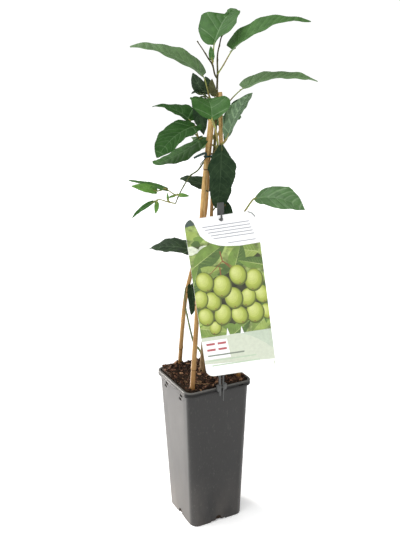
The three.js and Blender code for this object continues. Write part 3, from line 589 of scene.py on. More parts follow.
def blade(shape, leaf, phase, finish):
    """A leaf blade with its midrib, side veins and toothed margin; finish is the first of its four."""
    along, length, up, side = blade_frame(leaf)
    width = leaf.width
    small = min(1, length / SMALL_LEAF)
    lean = min(VEIN_LEAN_LIMIT, 0.5 * width / length * VEIN_LEAN)

    def wave(times, share, start, lag):
        return sin(FULL_TURN * (times * share + start * phase) + lag)

    def spot(share, column, tooth=0):
        """A point of the middle surface; column runs from -1 to 1 across it."""
        hill = 4 * share * (1 - share)
        half = 0.5 * width * outline(share, leaf.shape) * (1 + leaf.skew * column) + tooth
        half *= 1 + SWELL * wave(SWELLS, share, 5, 2 * column)
        for place, edge, amount in leaf.bumps:
            if edge * column > 0:
                half += amount * hump((share - place) / BUMP_SPAN)
        lobe = leaf.lobe * column ** 2 * (1 - share) ** 6
        rise = length * (leaf.arch * hill - leaf.curl * share ** 3)
        ripple = RIPPLE * width * column ** 2 * wave(RIPPLES, share, 1, column)
        ripple += CRINKLE * width * abs(column) ** 3 * wave(CRINKLES, share, 3, -column)
        return (leaf.base + along * length * (share - lobe)
                + side * (half * column + length * leaf.bend * hill)
                + up * (rise + half * leaf.fold * abs(column) + ripple))

    shares, puffs, veins = blade_rows(length, leaf.stripe)
    over, under = [], []
    for row, (share, puff) in enumerate(zip(shares, puffs)):
        half = 0.5 * width * outline(share, leaf.shape)
        middle = min(0.3, 0.5 * MIDRIB_WIDTH * small * (1.15 - share) / half)
        steps = [mix(middle, 1, t) for t in SIDE_COLUMNS]
        top, low = [], []
        for column in [-c for c in reversed(steps)] + steps:
            away = abs(column)
            edge = away == 1
            sheared = share + lean * away ** 1.2 * 6.75 * share * (1 - share) ** 2
            tooth = TOOTH * small * (row % 2) if edge and TOOTH_FROM < share < TOOTH_TO else 0
            at = spot(min(sheared, 0.999), column, tooth)
            quilt = QUILT * leaf.quilt * small * puff * 4 * away * (1 - away)
            thick = BLADE_THICKNESS * (1 - away ** 2) * 0.5 * small
            groove, ridge = 0, SIDE_RIDGE * small * (1 - puff) * (1 - away)
            if away <= middle * 1.01:
                groove, ridge = VEIN_GROOVE * small, VEIN_RIDGE * small * (1.2 - share)
            top.append(at + up * (thick + quilt - groove))
            if not edge:
                low.append(at + up * (quilt - thick - ridge))
        over.append(shape.add(top))
        under.append([over[-1][0], *shape.add(low), over[-1][-1]])
    root = shape.add([spot(0, 0)])[0]
    point = shape.add([spot(1, 0)])[0]
    last = len(over[0]) - 1
    for i in range(last):
        j = i + 1
        shape.face((root, over[0][i], over[0][j]), finish)
        shape.face((root, under[0][j], under[0][i]), finish + 2)
        shape.face((point, over[-1][j], over[-1][i]), finish)
        shape.face((point, under[-1][i], under[-1][j]), finish + 2)
    for row in range(len(over) - 1):
        (top, top_on), (low, low_on) = over[row:row + 2], under[row:row + 2]
        for i in range(last):
            j = i + 1
            # Pale faces: the midrib, the side veins and, on striped leaves, the painted sheen band beside
            # each vein.
            pale = i == last // 2 or (row in veins and 0 < i < last - 1)
            shape.face((top[i], top_on[i], top_on[j], top[j]), finish + pale)
            shape.face((low[i], low[j], low_on[j], low_on[i]), finish + 2 + pale)


def stalk(shape, leaf, finish):
    """A leaf's stalk, from a little swelling where it leaves the limb to the foot of the blade."""
    along, _, up, _ = blade_frame(leaf)
    inside = leaf.base + along * STALK_IN_BLADE + up
    spots = spots_along([*leaf.stalk, leaf.base, inside], STALK_PITCH)

    def radius_at(share):
        swell = STALK_SWELL * hump(share * len(spots) * STALK_PITCH / STALK_SWELL_LENGTH)
        return PETIOLE_RADIUS * leaf.stout * mix(1.15, 0.85, share) + swell
    tube(shape, spots, radius_at, 8, finish)


def seeded(state):
    """Numbers from 0 to 1, the same on every run."""
    while True:
        state = (state * 1664525 + 1013904223) % 4294967296
        yield state / 4294967296


def foliage():
    """The leaf blades in one piece, and their stalks and twigs in another."""
    blades, stems = Shape(), Shape()
    finishes = []
    first = {}
    for tone, (upper, under, *skin) in LEAF_TONES.items():
        first[tone] = len(finishes)
        finishes += leaf_finishes("leaf_" + tone, colour(*upper), colour(*under), *skin)
    phases = seeded(5)
    for mass in SPRAYS:
        # Sprays in painted shade take the darker stalk finish: painted shade on their stalks and twigs.
        shaded = int(mass.tone in SHADED_TONES)
        for one in mass.leaves:
            blade(blades, one, next(phases), first[one.tone or mass.tone])
            stalk(stems, one, shaded)
        if mass.twig:
            spots = spots_along(mass.twig, STALK_PITCH)
            tube(stems, spots, lambda share: mix(*mass.radii, share), 8, shaded)
    names = [mass.name for mass in SPRAYS]
    blades.made("leaf_blades", finishes, names, 70)
    stems.made("leaf_stalks", [stalk_finish("stalk_fresh", colour(142, 150, 78)),
                               stalk_finish("stalk_painted_shade", colour(86, 100, 52))], names)


def stalk_finish(name, tone):
    made = Finish(name, tone, 0.35)
    streak = made.grain(1.5, 0.3, 0.7, (1, 1, 6))
    blush = made.range(made.grain(12), 0.45, 0.65, 0, 0.5)
    base = made.blend(blush, made.tint(streak, 0.82, 1.15), colour(140, 92, 62))
    made.coat(base, streak, 0.42, 0.58)
    made.bump(made.grain(0.5, stretch=(1, 1, 5)), 0.1, 0.5)
    return made


# The vine's woody parts

TRUNK_PATH = [
    (-1.5, -8, 236), (-1.5, -8, 243), (-1.2, -7, 262), (4, -3, 330), (10.5, 2, 410), (15, 4, 484),
    (18.2, 3, 556),
]
TRUNK_FOOT_RADIUS, TRUNK_RADIUS, TRUNK_TOP_RADIUS = 4.6, 2.9, 2.3
ROOT_FLARE_SHARE = 0.07
LEADER_PATH = [(18.2, 3, 556.3), (20.8, 3, 585), (22.8, 3, 620), (24.2, 3, 654)]
LEADER_RADII = (2.2, 1.6)
TRUNK_BARK_DEPTH, LEADER_BARK_DEPTH = 0.32, 0.16
# Each shoot's path, the radius at its ends and its finish.
SHOOTS = [
    ([(24.2, 3, 654.35), (25, 3, 675), (25.2, 4, 699), (28, 5, 712), (31.6, 8, 723.6), (39, 13, 729)],
     (1.5, 0.8), 2),
    ([(24.9, 3, 668), (21.5, 1.5, 673), (18.2, 0, 686), (12.2, -3, 695.3), (5.6, -6, 706),
      (-2.3, -8, 717.5)], (1.3, 0.7), 2),
    ([(18.8, 3, 561), (21, 10.5, 561), (15.5, 17, 559), (6, 16.5, 553), (-4, 10, 541.5),
      (-14.3, 4, 535.3), (-20, 0, 528), (-30, -6.5, 511.5), (-36, -12, 498.5)], (1.3, 0.8), 3),
    ([(-1.2, -7, 259), (-4.7, 3, 268), (-13.6, 8, 279), (-17.9, 9, 295), (-22, 9, 316),
      (-25, 9, 332)], (1.5, 1.2), 3),
]
BUD_PITCH, BUD_WIDTH, BUD_HEIGHT = 19, 1.6, 0.22


def trunk_radius(share):
    flare = exp(-share / ROOT_FLARE_SHARE) * (TRUNK_FOOT_RADIUS - TRUNK_RADIUS)
    return mix(TRUNK_RADIUS, TRUNK_TOP_RADIUS, share) + flare


def bark_relief(depth, seed):
    """Shallow strips of bark that run up the limb and split here and there."""
    def relief(way, angle):
        spot = Vector((*spoke(angle, 2.2), way * 0.07 + seed))
        return depth * (abs(noise.noise(spot)) * 2 - 0.5 + 0.25 * noise.noise(spot * 4))
    return relief


def buds(way, angle):
    """A low joint at even steps up a shoot, where leaves sit or have sat."""
    off = (way + BUD_PITCH / 2) % BUD_PITCH - BUD_PITCH / 2
    return BUD_HEIGHT * hump(off / BUD_WIDTH) * (1.2 + cos(angle))


def vine():
    """The trunk and its leader with their bark, and the bare shoots."""
    wood = Shape()
    tube(wood, spots_along(TRUNK_PATH, 1.6), trunk_radius, 20, relief=bark_relief(TRUNK_BARK_DEPTH, 0))
    tube(wood, spots_along(LEADER_PATH, 1.4), lambda share: mix(*LEADER_RADII, share), 16, 1,
         relief=bark_relief(LEADER_BARK_DEPTH, 9))
    for path, radii, finish in SHOOTS:
        tube(wood, spots_along(path, 1.2), lambda share: mix(*radii, share), 10, finish, relief=buds)
    finishes = [
        bark_finish("trunk_bark", colour(140, 112, 76), colour(78, 58, 38), 1),
        bark_finish("leader_bark", colour(122, 112, 58), colour(70, 62, 34)),
        bark_finish("shoot_skin", colour(88, 84, 52), colour(52, 44, 34)),
        bark_finish("green_shoot_skin", colour(118, 134, 82), colour(74, 78, 50)),
    ]
    wood.made("vine_wood", finishes, [
        "trunk", "leader", "shoot_leading", "shoot_twining", "shoot_left", "shoot_low"], 60)


def bark_finish(name, light, dark, tan=0):
    """Bark in strips with greyer patches; tan warms the younger bark higher up."""
    made = Finish(name, light, 0.25)
    strips = made.grain(1.6, 0.35, 0.65, (1, 1, 9), 4, 0.6)
    patches = made.grain(18, 0.4, 0.65, detail=3)
    wood = made.blend(strips, dark, light)
    wood = made.blend(made.rise(0.44, 0.5, 0, 0.6) * tan, wood, colour(206, 156, 98))
    base = made.blend(patches * 0.4, wood, between(light, colour(120, 120, 84), 0.5))
    made.coat(base, strips, 0.9, 0.7)
    made.bump(strips, 0.25, 0.7)
    return made


# The canes and their tie

CANES = [
    (3.7, [(-17, -55.5, 216), (-16.5, -54, 233), (-7.6, -38, 349), (1.5, -18.5, 489), (7.7, -10, 552),
           (15.6, -3, 618)]),
    (3.3, [(-37.5, 27, 218), (-36.5, 26, 237), (-25.2, 20, 347), (-14, 16, 396), (5.6, 10.5, 480),
           (11, 8, 550), (17, 9, 606)]),
    (3.3, [(53.5, -12.5, 214), (53, -12, 232), (42, -4, 380), (35, 0, 484), (29.6, 3, 571),
           (28.5, 5, 650)]),
]
CANE_PITCH = 2
CANE_NODE_PITCH = 96
CANE_NODE_SWELL, CANE_NODE_WIDTH = 0.55, 3
CANE_SCAR_DEPTH, CANE_SCAR_WIDTH, CANE_SCAR_BELOW = 0.35, 1.2, 4
CANE_RIPPLE = 0.1
SCAR_FROM, NODE_FROM, NODE_TO = -5, -2, 3
CANE_TOP_SHARE = 0.86
CANE_BORE = 0.45
SKIN, SCAR, NODE, CUT = range(4)


def canes():
    """Three bamboo canes with raised nodes, a scar line under each and a hollow cut top."""
    shape = Shape()
    for radius, path in CANES:
        spots = spots_along(path, CANE_PITCH)
        last = len(spots) - 1
        seed = radius + path[0][0]

        def off_node(share):
            return share * last * CANE_PITCH % CANE_NODE_PITCH - CANE_NODE_PITCH / 2

        def radius_at(share):
            node = CANE_NODE_SWELL * hump(off_node(share) / CANE_NODE_WIDTH)
            scar = CANE_SCAR_DEPTH * hump((off_node(share) + CANE_SCAR_BELOW) / CANE_SCAR_WIDTH)
            return radius * mix(1, CANE_TOP_SHARE, share) + node - scar

        def finish_at(row):
            off = off_node(row / last)
            if row >= last:
                return CUT
            return SCAR if SCAR_FROM < off < NODE_FROM else NODE if NODE_FROM <= off < NODE_TO else SKIN

        def ripple(way, angle):
            return CANE_RIPPLE * noise.noise(Vector((*spoke(angle, 1.5), way * 0.03 + seed)))
        tube(shape, spots, radius_at, 20, SKIN, finish_at, ripple, bore=CANE_BORE)
    shape.made("canes", [
        cane_finish("cane_skin", colour(226, 186, 120), colour(168, 116, 60)),
        cane_finish("cane_scar", colour(138, 96, 54), colour(96, 62, 36)),
        cane_finish("cane_node", colour(222, 184, 124), colour(176, 128, 74)),
        cane_finish("cane_cut", colour(196, 160, 108), colour(120, 84, 48)),
    ], ["cane_front", "cane_left", "cane_right"], 50)


def cane_finish(name, light, dark):
    """Straight fibres with stains, browner towards the soil."""
    made = Finish(name, light, 0.3)
    fibre = made.grain(0.9, 0.3, 0.7, (1, 1, 40), 3)
    stain = made.grain(9, 0.42, 0.62, (1, 1, 5), 4, 0.6)
    stained = made.blend(stain * 0.75, made.tint(fibre, 0.78, 1.12), dark)
    base = made.blend(made.rise(0.24, 0.47, 0.8, 0), stained, colour(104, 68, 20))
    made.coat(base, stain, 0.34, 0.5)
    made.bump(fibre, 0.08, 0.5)
    return made


TIE_LEVEL = 564
TIE_HEIGHT = 2.6
TIE_STEPS = 84
TIE_SLANT = 0.5
TIE_END_RADII = (1.9, 1.4)
TIE_END_FLATNESS = 0.4
TIE_PROFILE = [
    (0, -0.5), (0, 0.5), (0.3, 0.5), (0.8, 0.42), (1, 0.2), (1, -0.2), (0.8, -0.42), (0.3, -0.5),
]
TIE_KNOT = (8.5, -10.8, 564)
TIE_ENDS = [
    [TIE_KNOT, (7, -16, 569), (-2, -15, 566), (-9, -12, 562)],
    [TIE_KNOT, (5, -16, 560), (-1, -14, 553)],
]


def cane_tie():
    """The band round the canes and the vine, pulled straight between them, with two loose ends."""
    rods = []
    for radius, path in [(radius * 0.9, path) for radius, path in CANES] + [(2.3, LEADER_PATH)]:
        spot = min(spots_along(path, 1), key=lambda p: abs(p.z - TIE_LEVEL))
        rods.append((spot.x, spot.y, radius))
    rings = []
    for angle in around(TIE_STEPS):
        out = Vector((*spoke(angle, 1), 0))
        x, y, radius = max(rods, key=lambda rod: out.x * rod[0] + out.y * rod[1] + rod[2])
        rise = TIE_LEVEL + TIE_SLANT * sin(angle + 1)
        rings.append([Vector((x, y, rise + up * TIE_HEIGHT)) + out * (radius + CLEARANCE + depth)
                      for depth, up in TIE_PROFILE])
    shape = Shape()
    shape.loft(rings, capped=False)
    for path in TIE_ENDS:
        tube(shape, spots_along(path, 0.8), lambda share: mix(*TIE_END_RADII, share), flat=TIE_END_FLATNESS)
    made = Finish("tie_plastic", colour(28, 62, 58))
    wear = made.grain(3, 0.35, 0.65, detail=3)
    made.coat(made.tint(wear, 0.7, 1.3), wear, 0.35, 0.5)
    made.bump(made.grain(0.8), 0.1)
    shape.made("cane_tie_band", [made], ["cane_tie"])


# The pot and its soil

# Each ring's size, the radius of its corners and its level: up the outside, over the rim, down the inside.
POT_PROFILE = [
    (85.6, 11.8, 0), (86.8, 12.4, 0.2), (87.7, 12.9, 0.7), (88, 13, 1.3), (102.4, 9, 223.1),
    (102.8, 9.2, 223.7), (103.6, 9.5, BAND_LEVEL), (109, 11.6, BAND_LEVEL), (109.7, 11.9, 224.3),
    (110, 12, 224.9), (110, 12, 226.9), (109.6, 11.8, 227.3), (108.6, 11.3, 227.5), (108.4, 11.2, 228.2),
    (108.6, 11.3, 228.9), (109.6, 11.8, 229.1), (110, 12, 229.5), (110, 12, 230.3), (109.6, 11.8, 231.2),
    (108.7, 11.3, 231.8), (107.2, 10.6, POT_HEIGHT), (104.2, 9.4, POT_HEIGHT), (103, 9, 231.7),
    (102.3, 8.8, 230.9), (100.1, 7.8, BAND_LEVEL), (85.8, 11.7, POT_FLOOR),
]
DRAIN_NOTCH = (14, 26, 4.4)
DRAIN_HOLE_RADIUS = 5
RIM_SLOT = (7.2, 8, 3.8)
RIM_SLOTS = [(-23, 218), (26.5, 218), (-28, 212.2), (22.5, 211.6)]
RIM_NICK = (35, 226.5)
FOOT_CORNER, TOP_CORNER = 13, 9


def wall_size(level):
    return mix(FOOT_SIZE, TOP_SIZE, level / BAND_LEVEL)


def pot_cutters():
    """The drain notches and holes round the foot, and the slots under the rim."""
    tools = bmesh.new()
    for side in range(4):
        turn = Matrix.Rotation(side * pi / 2, 4, "Z")

        def moved(x, y, z):
            return turn @ Matrix.Translation(Vector((x, y, z)) * MM)

        def box(size, at):
            place = moved(*at) @ Matrix.Diagonal((*(v * MM for v in size), 1))
            bmesh.ops.create_cube(tools, size=1, matrix=place)
        box(DRAIN_NOTCH, (FOOT_SIZE / 2, 0, 0))
        bmesh.ops.create_cone(
            tools, cap_ends=True, segments=32, radius1=DRAIN_HOLE_RADIUS * MM,
            radius2=DRAIN_HOLE_RADIUS * MM, depth=5 * POT_WALL * MM,
            matrix=moved(FOOT_SIZE / 2, 0, DRAIN_HOLE_RADIUS) @ Matrix.Rotation(pi / 2, 4, "Y"))
        for along, level in [RIM_NICK] if side % 2 else RIM_SLOTS:
            box(RIM_SLOT, (wall_size(level) / 2, along, level))
    mesh = bpy.data.meshes.new("pot_cutters")
    tools.to_mesh(mesh)
    tools.free()
    return linked("pot_cutters", mesh)


def pot():
    shape = Shape(UPRIGHT)
    shape.loft([[(*p, level) for p in rounded(size, size, corner)] for size, corner, level in POT_PROFILE])
    piece = shape.made("square_pot", [pot_finish()], ["pot"], 50)
    cutters = pot_cutters()
    cut = piece.modifiers.new("openings", "BOOLEAN")
    cut.operation = "DIFFERENCE"
    cut.solver = "EXACT"
    cut.use_self = True
    cut.object = cutters
    settle(piece)
    bpy.data.objects.remove(cutters)


def pot_finish():
    """Satin grey plastic with faint flow marks, fine scuffs, a painted highlight along the top edge and
    dust towards the foot.
    """
    made = Finish("pot_plastic", colour(27, 26, 25), 0.4)
    flow = made.grain(26, 0.3, 0.7, (1, 1, 3), 3)
    scuff = made.grain(2.4, 0.58, 0.72, (1, 1, 2.5), 4, 0.7)
    # Fine scuffs, and a painted highlight along the rim's top edge, both in a paler grey.
    scuffs_and_rim_highlight = scuff * 0.25 + made.rise(0.2302, 0.2314) * 0.7
    dust = made.rise(0, 0.09, 0.38, 0) * flow
    dusty = made.blend(dust, made.tint(flow, 0.9, 1.12), colour(95, 88, 82))
    made.paint("Base Color", made.blend(scuffs_and_rim_highlight, dusty, colour(110, 108, 104)))
    dull_rim = made.rise(0.2235, 0.2245) * 0.25
    made.paint("Roughness", made.range(flow, 0, 1, 0.36, 0.46) + scuff * 0.15 + dull_rim)
    made.bump(made.grain(38, detail=1) + made.grain(0.7) * 0.02, 0.9, 0.3)
    return made


SOIL_EDGE_LEVEL = 231
# The middle, height and spread of the mound, of a heap on it and of the dip where the clip sits.
SOIL_HEAPS = [
    (0, 8, 8, 34),
    (-36, 30, 5, 15),
    (0, -TOP_SIZE / 2, -5, sqrt(20)),
]
# The height, size and seed of the soil's lumps.
SOIL_LUMPS = [(3, 11, 3), (1.2, 4, 9), (0.5, 1.7, 5)]
SOIL_AROUND = 180
SOIL_RINGS = 56


def soil_level(x, y):
    level = SOIL_EDGE_LEVEL
    for heap_x, heap_y, height, spread in SOIL_HEAPS:
        away = (x - heap_x) ** 2 + (y - heap_y) ** 2
        level += height * exp(-away / (2 * spread ** 2))
    for height, size, seed in SOIL_LUMPS:
        level += height * noise.noise(Vector((x, y, seed)) / size)
    return level


def edge_reach(angle, half, corner):
    """From the middle of a square with round corners to its edge."""
    way = Vector(spoke(angle, 1))
    reach = half / max(abs(way.x), abs(way.y))
    inner = half - corner
    if min(abs(way.x), abs(way.y)) * reach > inner:
        centre = Vector((copysign(inner, way.x), copysign(inner, way.y)))
        along = way.dot(centre)
        reach = along + sqrt(along ** 2 - centre.length_squared + corner ** 2)
    return reach


def soil_ring(level, share=1, lumpy=False):
    half = wall_size(level) / 2 - POT_WALL - CLEARANCE
    corner = mix(FOOT_CORNER, TOP_CORNER, level / BAND_LEVEL) - POT_WALL
    ring = []
    for angle in around(SOIL_AROUND):
        x, y = spoke(angle, edge_reach(angle, half, corner) * share)
        ring.append((x, y, soil_level(x, y) if lumpy else level))
    return ring


def soil():
    shape = Shape(UPRIGHT)
    rings = [soil_ring(POT_FLOOR + CLEARANCE), soil_ring(POT_HEIGHT / 2), soil_ring(BAND_LEVEL)]
    rings += [soil_ring(BAND_LEVEL, 1 - (step + 0.5) / SOIL_RINGS, True) for step in range(SOIL_RINGS)]
    shape.loft(rings)
    shape.made("soil_bed", [soil_finish("soil_peat", colour(46, 35, 26))], ["soil"], 80)


def soil_finish(name, tone):
    made = Finish(name, tone, 0.1)
    crumbs = made.grain(2.2, 0.35, 0.65, detail=4, rough=0.65)
    damp = made.grain(11, 0.35, 0.65, detail=3)
    made.coat(made.tint(crumbs * 0.6 + damp * 0.4, 0.45, 1.7), damp, 0.95, 0.75)
    made.bump(crumbs, 0.8, 0.9)
    return made


CHIPS = 1300
CHIP_LIMIT = 0.99
CHIP_MARGIN, CHIP_CORNER = 1.5, 8
CHIP_SMALL, CHIP_LARGE = (2.2, 1.2, 0.7), (10, 4.6, 2.2)
CHIP_TILT, CHIP_ROLL = 0.5, 0.45
CHIP_SIDES = 6
CHIP_TONES = [(40, 30, 24), (70, 51, 39), (106, 76, 60), (146, 112, 86)]
CHIP_SHARES = (34, 30, 28, 8)


def chips():
    """Broken pieces of bark over the soil, lying every way, most dark and a few pale."""
    dice = random.Random(31)
    shape = Shape(UPRIGHT)
    for _ in range(CHIPS):
        angle = dice.uniform(0, FULL_TURN)
        share = sqrt(dice.uniform(0, CHIP_LIMIT ** 2))
        x, y = spoke(angle, share * edge_reach(angle, TOP_SIZE / 2 - CHIP_MARGIN, CHIP_CORNER))
        big = dice.random() ** 3
        long, wide, thick = (mix(small, large, big) * 0.5 for small, large in zip(CHIP_SMALL, CHIP_LARGE))
        turn = (Matrix.Rotation(dice.uniform(0, 6.3), 3, "Z")
                @ Matrix.Rotation(dice.gauss(0, CHIP_TILT), 3, "X")
                @ Matrix.Rotation(dice.gauss(0, CHIP_ROLL), 3, "Y"))
        centre = Vector((x, y, soil_level(x, y) + dice.uniform(0.1, 0.9) * (0.5 + big)))
        rings = [[], []]
        for side, ring in zip((-1, 1), rings):
            for bearing in around(CHIP_SIDES):
                rough = dice.uniform(0.7, 1.15)
                ring.append(centre + turn @ Vector((
                    *spoke(bearing, long * rough, wide * rough), thick * side * dice.uniform(0.6, 1.1))))
        shape.loft(rings, dice.choices(range(4), CHIP_SHARES)[0])
    finishes = [soil_finish(f"bark_chip_{k}", colour(*tone)) for k, tone in enumerate(CHIP_TONES, 1)]
    shape.made("bark_chips", finishes, ["soil"], 30)


STRAWS = 18
STRAW_STEP = 4.5
STRAW_LIMIT = 44
STRAW_RADII = (0.35, 0.15)
STRAW_SPOTS = [(4, -12), (-12, -46)]


def straws():
    """A few pale dry fibres on the soil, beside the trunk and the foot of the front cane."""
    dice = random.Random(8)
    shape = Shape()
    for k in range(STRAWS):
        foot = Vector(STRAW_SPOTS[k % 2]) + Vector((dice.gauss(0, 14), dice.gauss(0, 9)))
        way = dice.uniform(0, 6.3)
        path = []
        for step in range(4):
            dx, dy = spoke(way, step * STRAW_STEP)
            x, y = foot.x + dx + dice.gauss(0, 0.8), foot.y + dy + dice.gauss(0, 0.8)
            x, y = Vector((x, y)).normalized() * min(STRAW_LIMIT, hypot(x, y))
            here = PLANT_TURN @ Vector((x, y, 0))
            path.append((x, y, soil_level(here.x, here.y) + 1.2 + 1.6 * sin(step * 1.1)))
        tube(shape, spots_along(path, 1.5), lambda share: mix(*STRAW_RADII, share), 6)
    made = Finish("dry_fibre", colour(176, 140, 92))
    made.paint("Base Color", made.blend(made.island(), colour(128, 92, 58), colour(208, 178, 124)))
    made.paint("Roughness", made.range(made.grain(2), 0.3, 0.7, 0.6, 0.8))
    shape.made("soil_fibres", [made], ["soil"], 60)


# The label card and its stick

CARD_WIDTH = 100
CARD_HEIGHT = 229
CARD_TOP = 5.5
CARD_CORNER = 11
CARD_FRONT = 0.4
CARD_HOLE_RADIUS = 2.4
CARD_SPOT = (25.9, -56, 485)
CARD_PLACE = (Matrix.Translation(CARD_SPOT) @ Matrix.Rotation(radians(2), 4, "Z")
              @ Matrix.Rotation(radians(87), 4, "X") @ Matrix.Rotation(radians(7.2), 4, "Z"))
PRINT_STEP = 0.02
PRINT_LIMIT = CARD_WIDTH / 2 - 0.25
# Each ink's colour and, where it's mottled, how far its tone spreads.
INKS = {
    "white": (250, 250, 250), "back": (206, 208, 204), "ground": (132, 150, 84, 0.8),
    "shadow": (58, 62, 34, 0.7), "leaf": (110, 138, 62, 0.22), "leaf_shade": (80, 106, 50, 0.22),
    "pale_leaf": (146, 166, 84, 0.2), "pale_leaf_shade": (118, 142, 66, 0.2),
    "leaf_vein": (130, 154, 80), "pale_leaf_vein": (166, 182, 108), "rib": (180, 194, 122),
    "stem": (132, 88, 54), "line": (164, 166, 174), "panel": (204, 211, 192),
    "panel_curve": (190, 202, 182), "red": (176, 88, 92), "shade": (90, 100, 42),
    "dark_line": (130, 140, 126), "green_line": (186, 204, 178), "slate": (70, 86, 78),
    "haze": (222, 230, 206, 0.3),
}
BERRY_TONES = 9
SPINE_STEPS = 10

PANEL_TOP = -164.6
PANEL_LAYER = 16
LEFT_TOP = [(-40.8, 5.2), (-43.5, 4.4), (-46.8, 1.9), (-49, -1.4), (-49.7, -5)]
# Flat shapes of the print: the ink, the layer and the corners.
GROUNDS = [
    ("ground", 1, [(-49.7, PANEL_TOP - 1), (49.7, PANEL_TOP - 1), (49.7, -30), (-20, -24), (-36, 0),
                   *LEFT_TOP]),
    ("slate", 2, [(-49.7, -4.5), (-36, -3), (-37, 0), *LEFT_TOP]),
]
NOTES = [
    ("white", PANEL_LAYER, [
        (-40.9, 5.4), (-37.4, 1.6), (-30.8, -18.9), (-24.9, -26.1), (-18.6, -30.6), (-8.2, -35.4),
        (1.1, -37.8), (21.6, -40.2), (49.75, -39.6), (49.75, -5.8), (49.2, -2), (47.4, 1), (44.5, 3.6),
        (41, 4.9), (36, 5.25), (3.2, 5.25), (2.4, 1.2), (2.3, -1), (1.2, -2.6), (-1.2, -2.6), (-2.3, -1),
        (-2.4, 1.2), (-3.2, 5.25)]),
    ("slate", 17, [(37.6, 4.6), (43.2, 1.4), (46.6, -3.6), (47.6, -3.2), (44, 2.4), (38.2, 5.2)]),
]
PANEL = [
    ("white", 18, [(-49.7, -170), (-49.7, -198), (-12, -198), (-14, -170)]),
    ("white", 17, [(-49.7, -216), (-46, -221), (-39, -223), (39, -223), (46, -221), (49.7, -210),
                   (-49.7, -204)]),
]
# Bars of the print: the ink, both ends, the lower edge and the height.
BARS = [
    *(("line", -26 + k * 3.2, 38 + k * 1.2, -8.5 - 4.4 * k, 1.3) for k in range(5)),
    ("line", 6, 44, -34.5, 1.2),
    *(("red", x, x + 12, y, 3.2) for x in (-44, -28) for y in (-177, -185.5)),
    ("dark_line", -44, 8, -193.6, 2.2), ("green_line", -44, 24, -201, 1.8),
    ("green_line", -40, 28, -208.5, 1.8),
]
# Middle, size and ink of the blurred patches behind the leaves.
BLOTCHES = [
    (-44, -17, 9, "pale_leaf"), (-34, -24, 7, "leaf"), (-46, -38, 9, "haze"), (-28, -40, 10, "haze"),
    (-38, -29, 6, "leaf_shade"), (40, -152, 14, "leaf"), (-42, -154, 13, "leaf"), (32, -60, 14, "shadow"),
    (2, -100, 34, "shadow"), (-26, -116, 30, "shadow"), (24, -124, 30, "shadow"), (0, -140, 26, "shadow"),
    (44, -66, 9, "leaf_shade"), (-8, -70, 12, "leaf_shade"), (42, -106, 14, "leaf_shade"),
    (-46, -128, 10, "leaf_shade"), (-10, -158, 14, "leaf"),
]
# Root, tip, width and ink of the printed leaves.
CARD_LEAVES = [
    ((-46, -62), (4, -32), 28, "leaf"), ((46, -52), (2, -40), 26, "pale_leaf"),
    ((-50, -78), (-6, -68), 22, "pale_leaf"), ((8, -76), (24, -34), 24, "leaf"),
    ((-54, -100), (-38, -58), 24, "leaf"), ((52, -72), (16, -60), 18, "leaf"),
    ((-50, -150), (-8, -163), 22, "pale_leaf"), ((-8, -168), (22, -148), 20, "leaf"),
    ((52, -140), (22, -166), 24, "pale_leaf"), ((54, -112), (44, -156), 20, "leaf"),
]
STEMS = [
    (-6, -58, -30, -78), (-6, -58, 8, -74), (-6, -58, 26, -84), (20, -72, 44, -76), (-8, -44, -6, -60),
    (-11, -66, -11, -86),
]
# Middle, width, height and turn of the printed fruits, from the front one to the back.
BERRIES = [
    (-34, -84, 23, 28, 0.25), (-11, -93, 25, 31, -0.12), (13, -80, 23, 28, 0.15), (34, -90, 24, 30, -0.2),
    (-43, -108, 20, 26, -0.2), (-27, -113, 22, 27, 0.3), (3, -112, 24, 30, 0.05), (23, -114, 21, 26, -0.35),
    (43, -112, 20, 26, 0.2), (-39, -134, 21, 25, 0.1), (-15, -134, 23, 29, -0.25), (8, -138, 22, 26, 0.3),
    (30, -137, 24, 29, -0.1), (47, -138, 16, 22, 0.2), (-28, -152, 16, 19, -0.3),
]


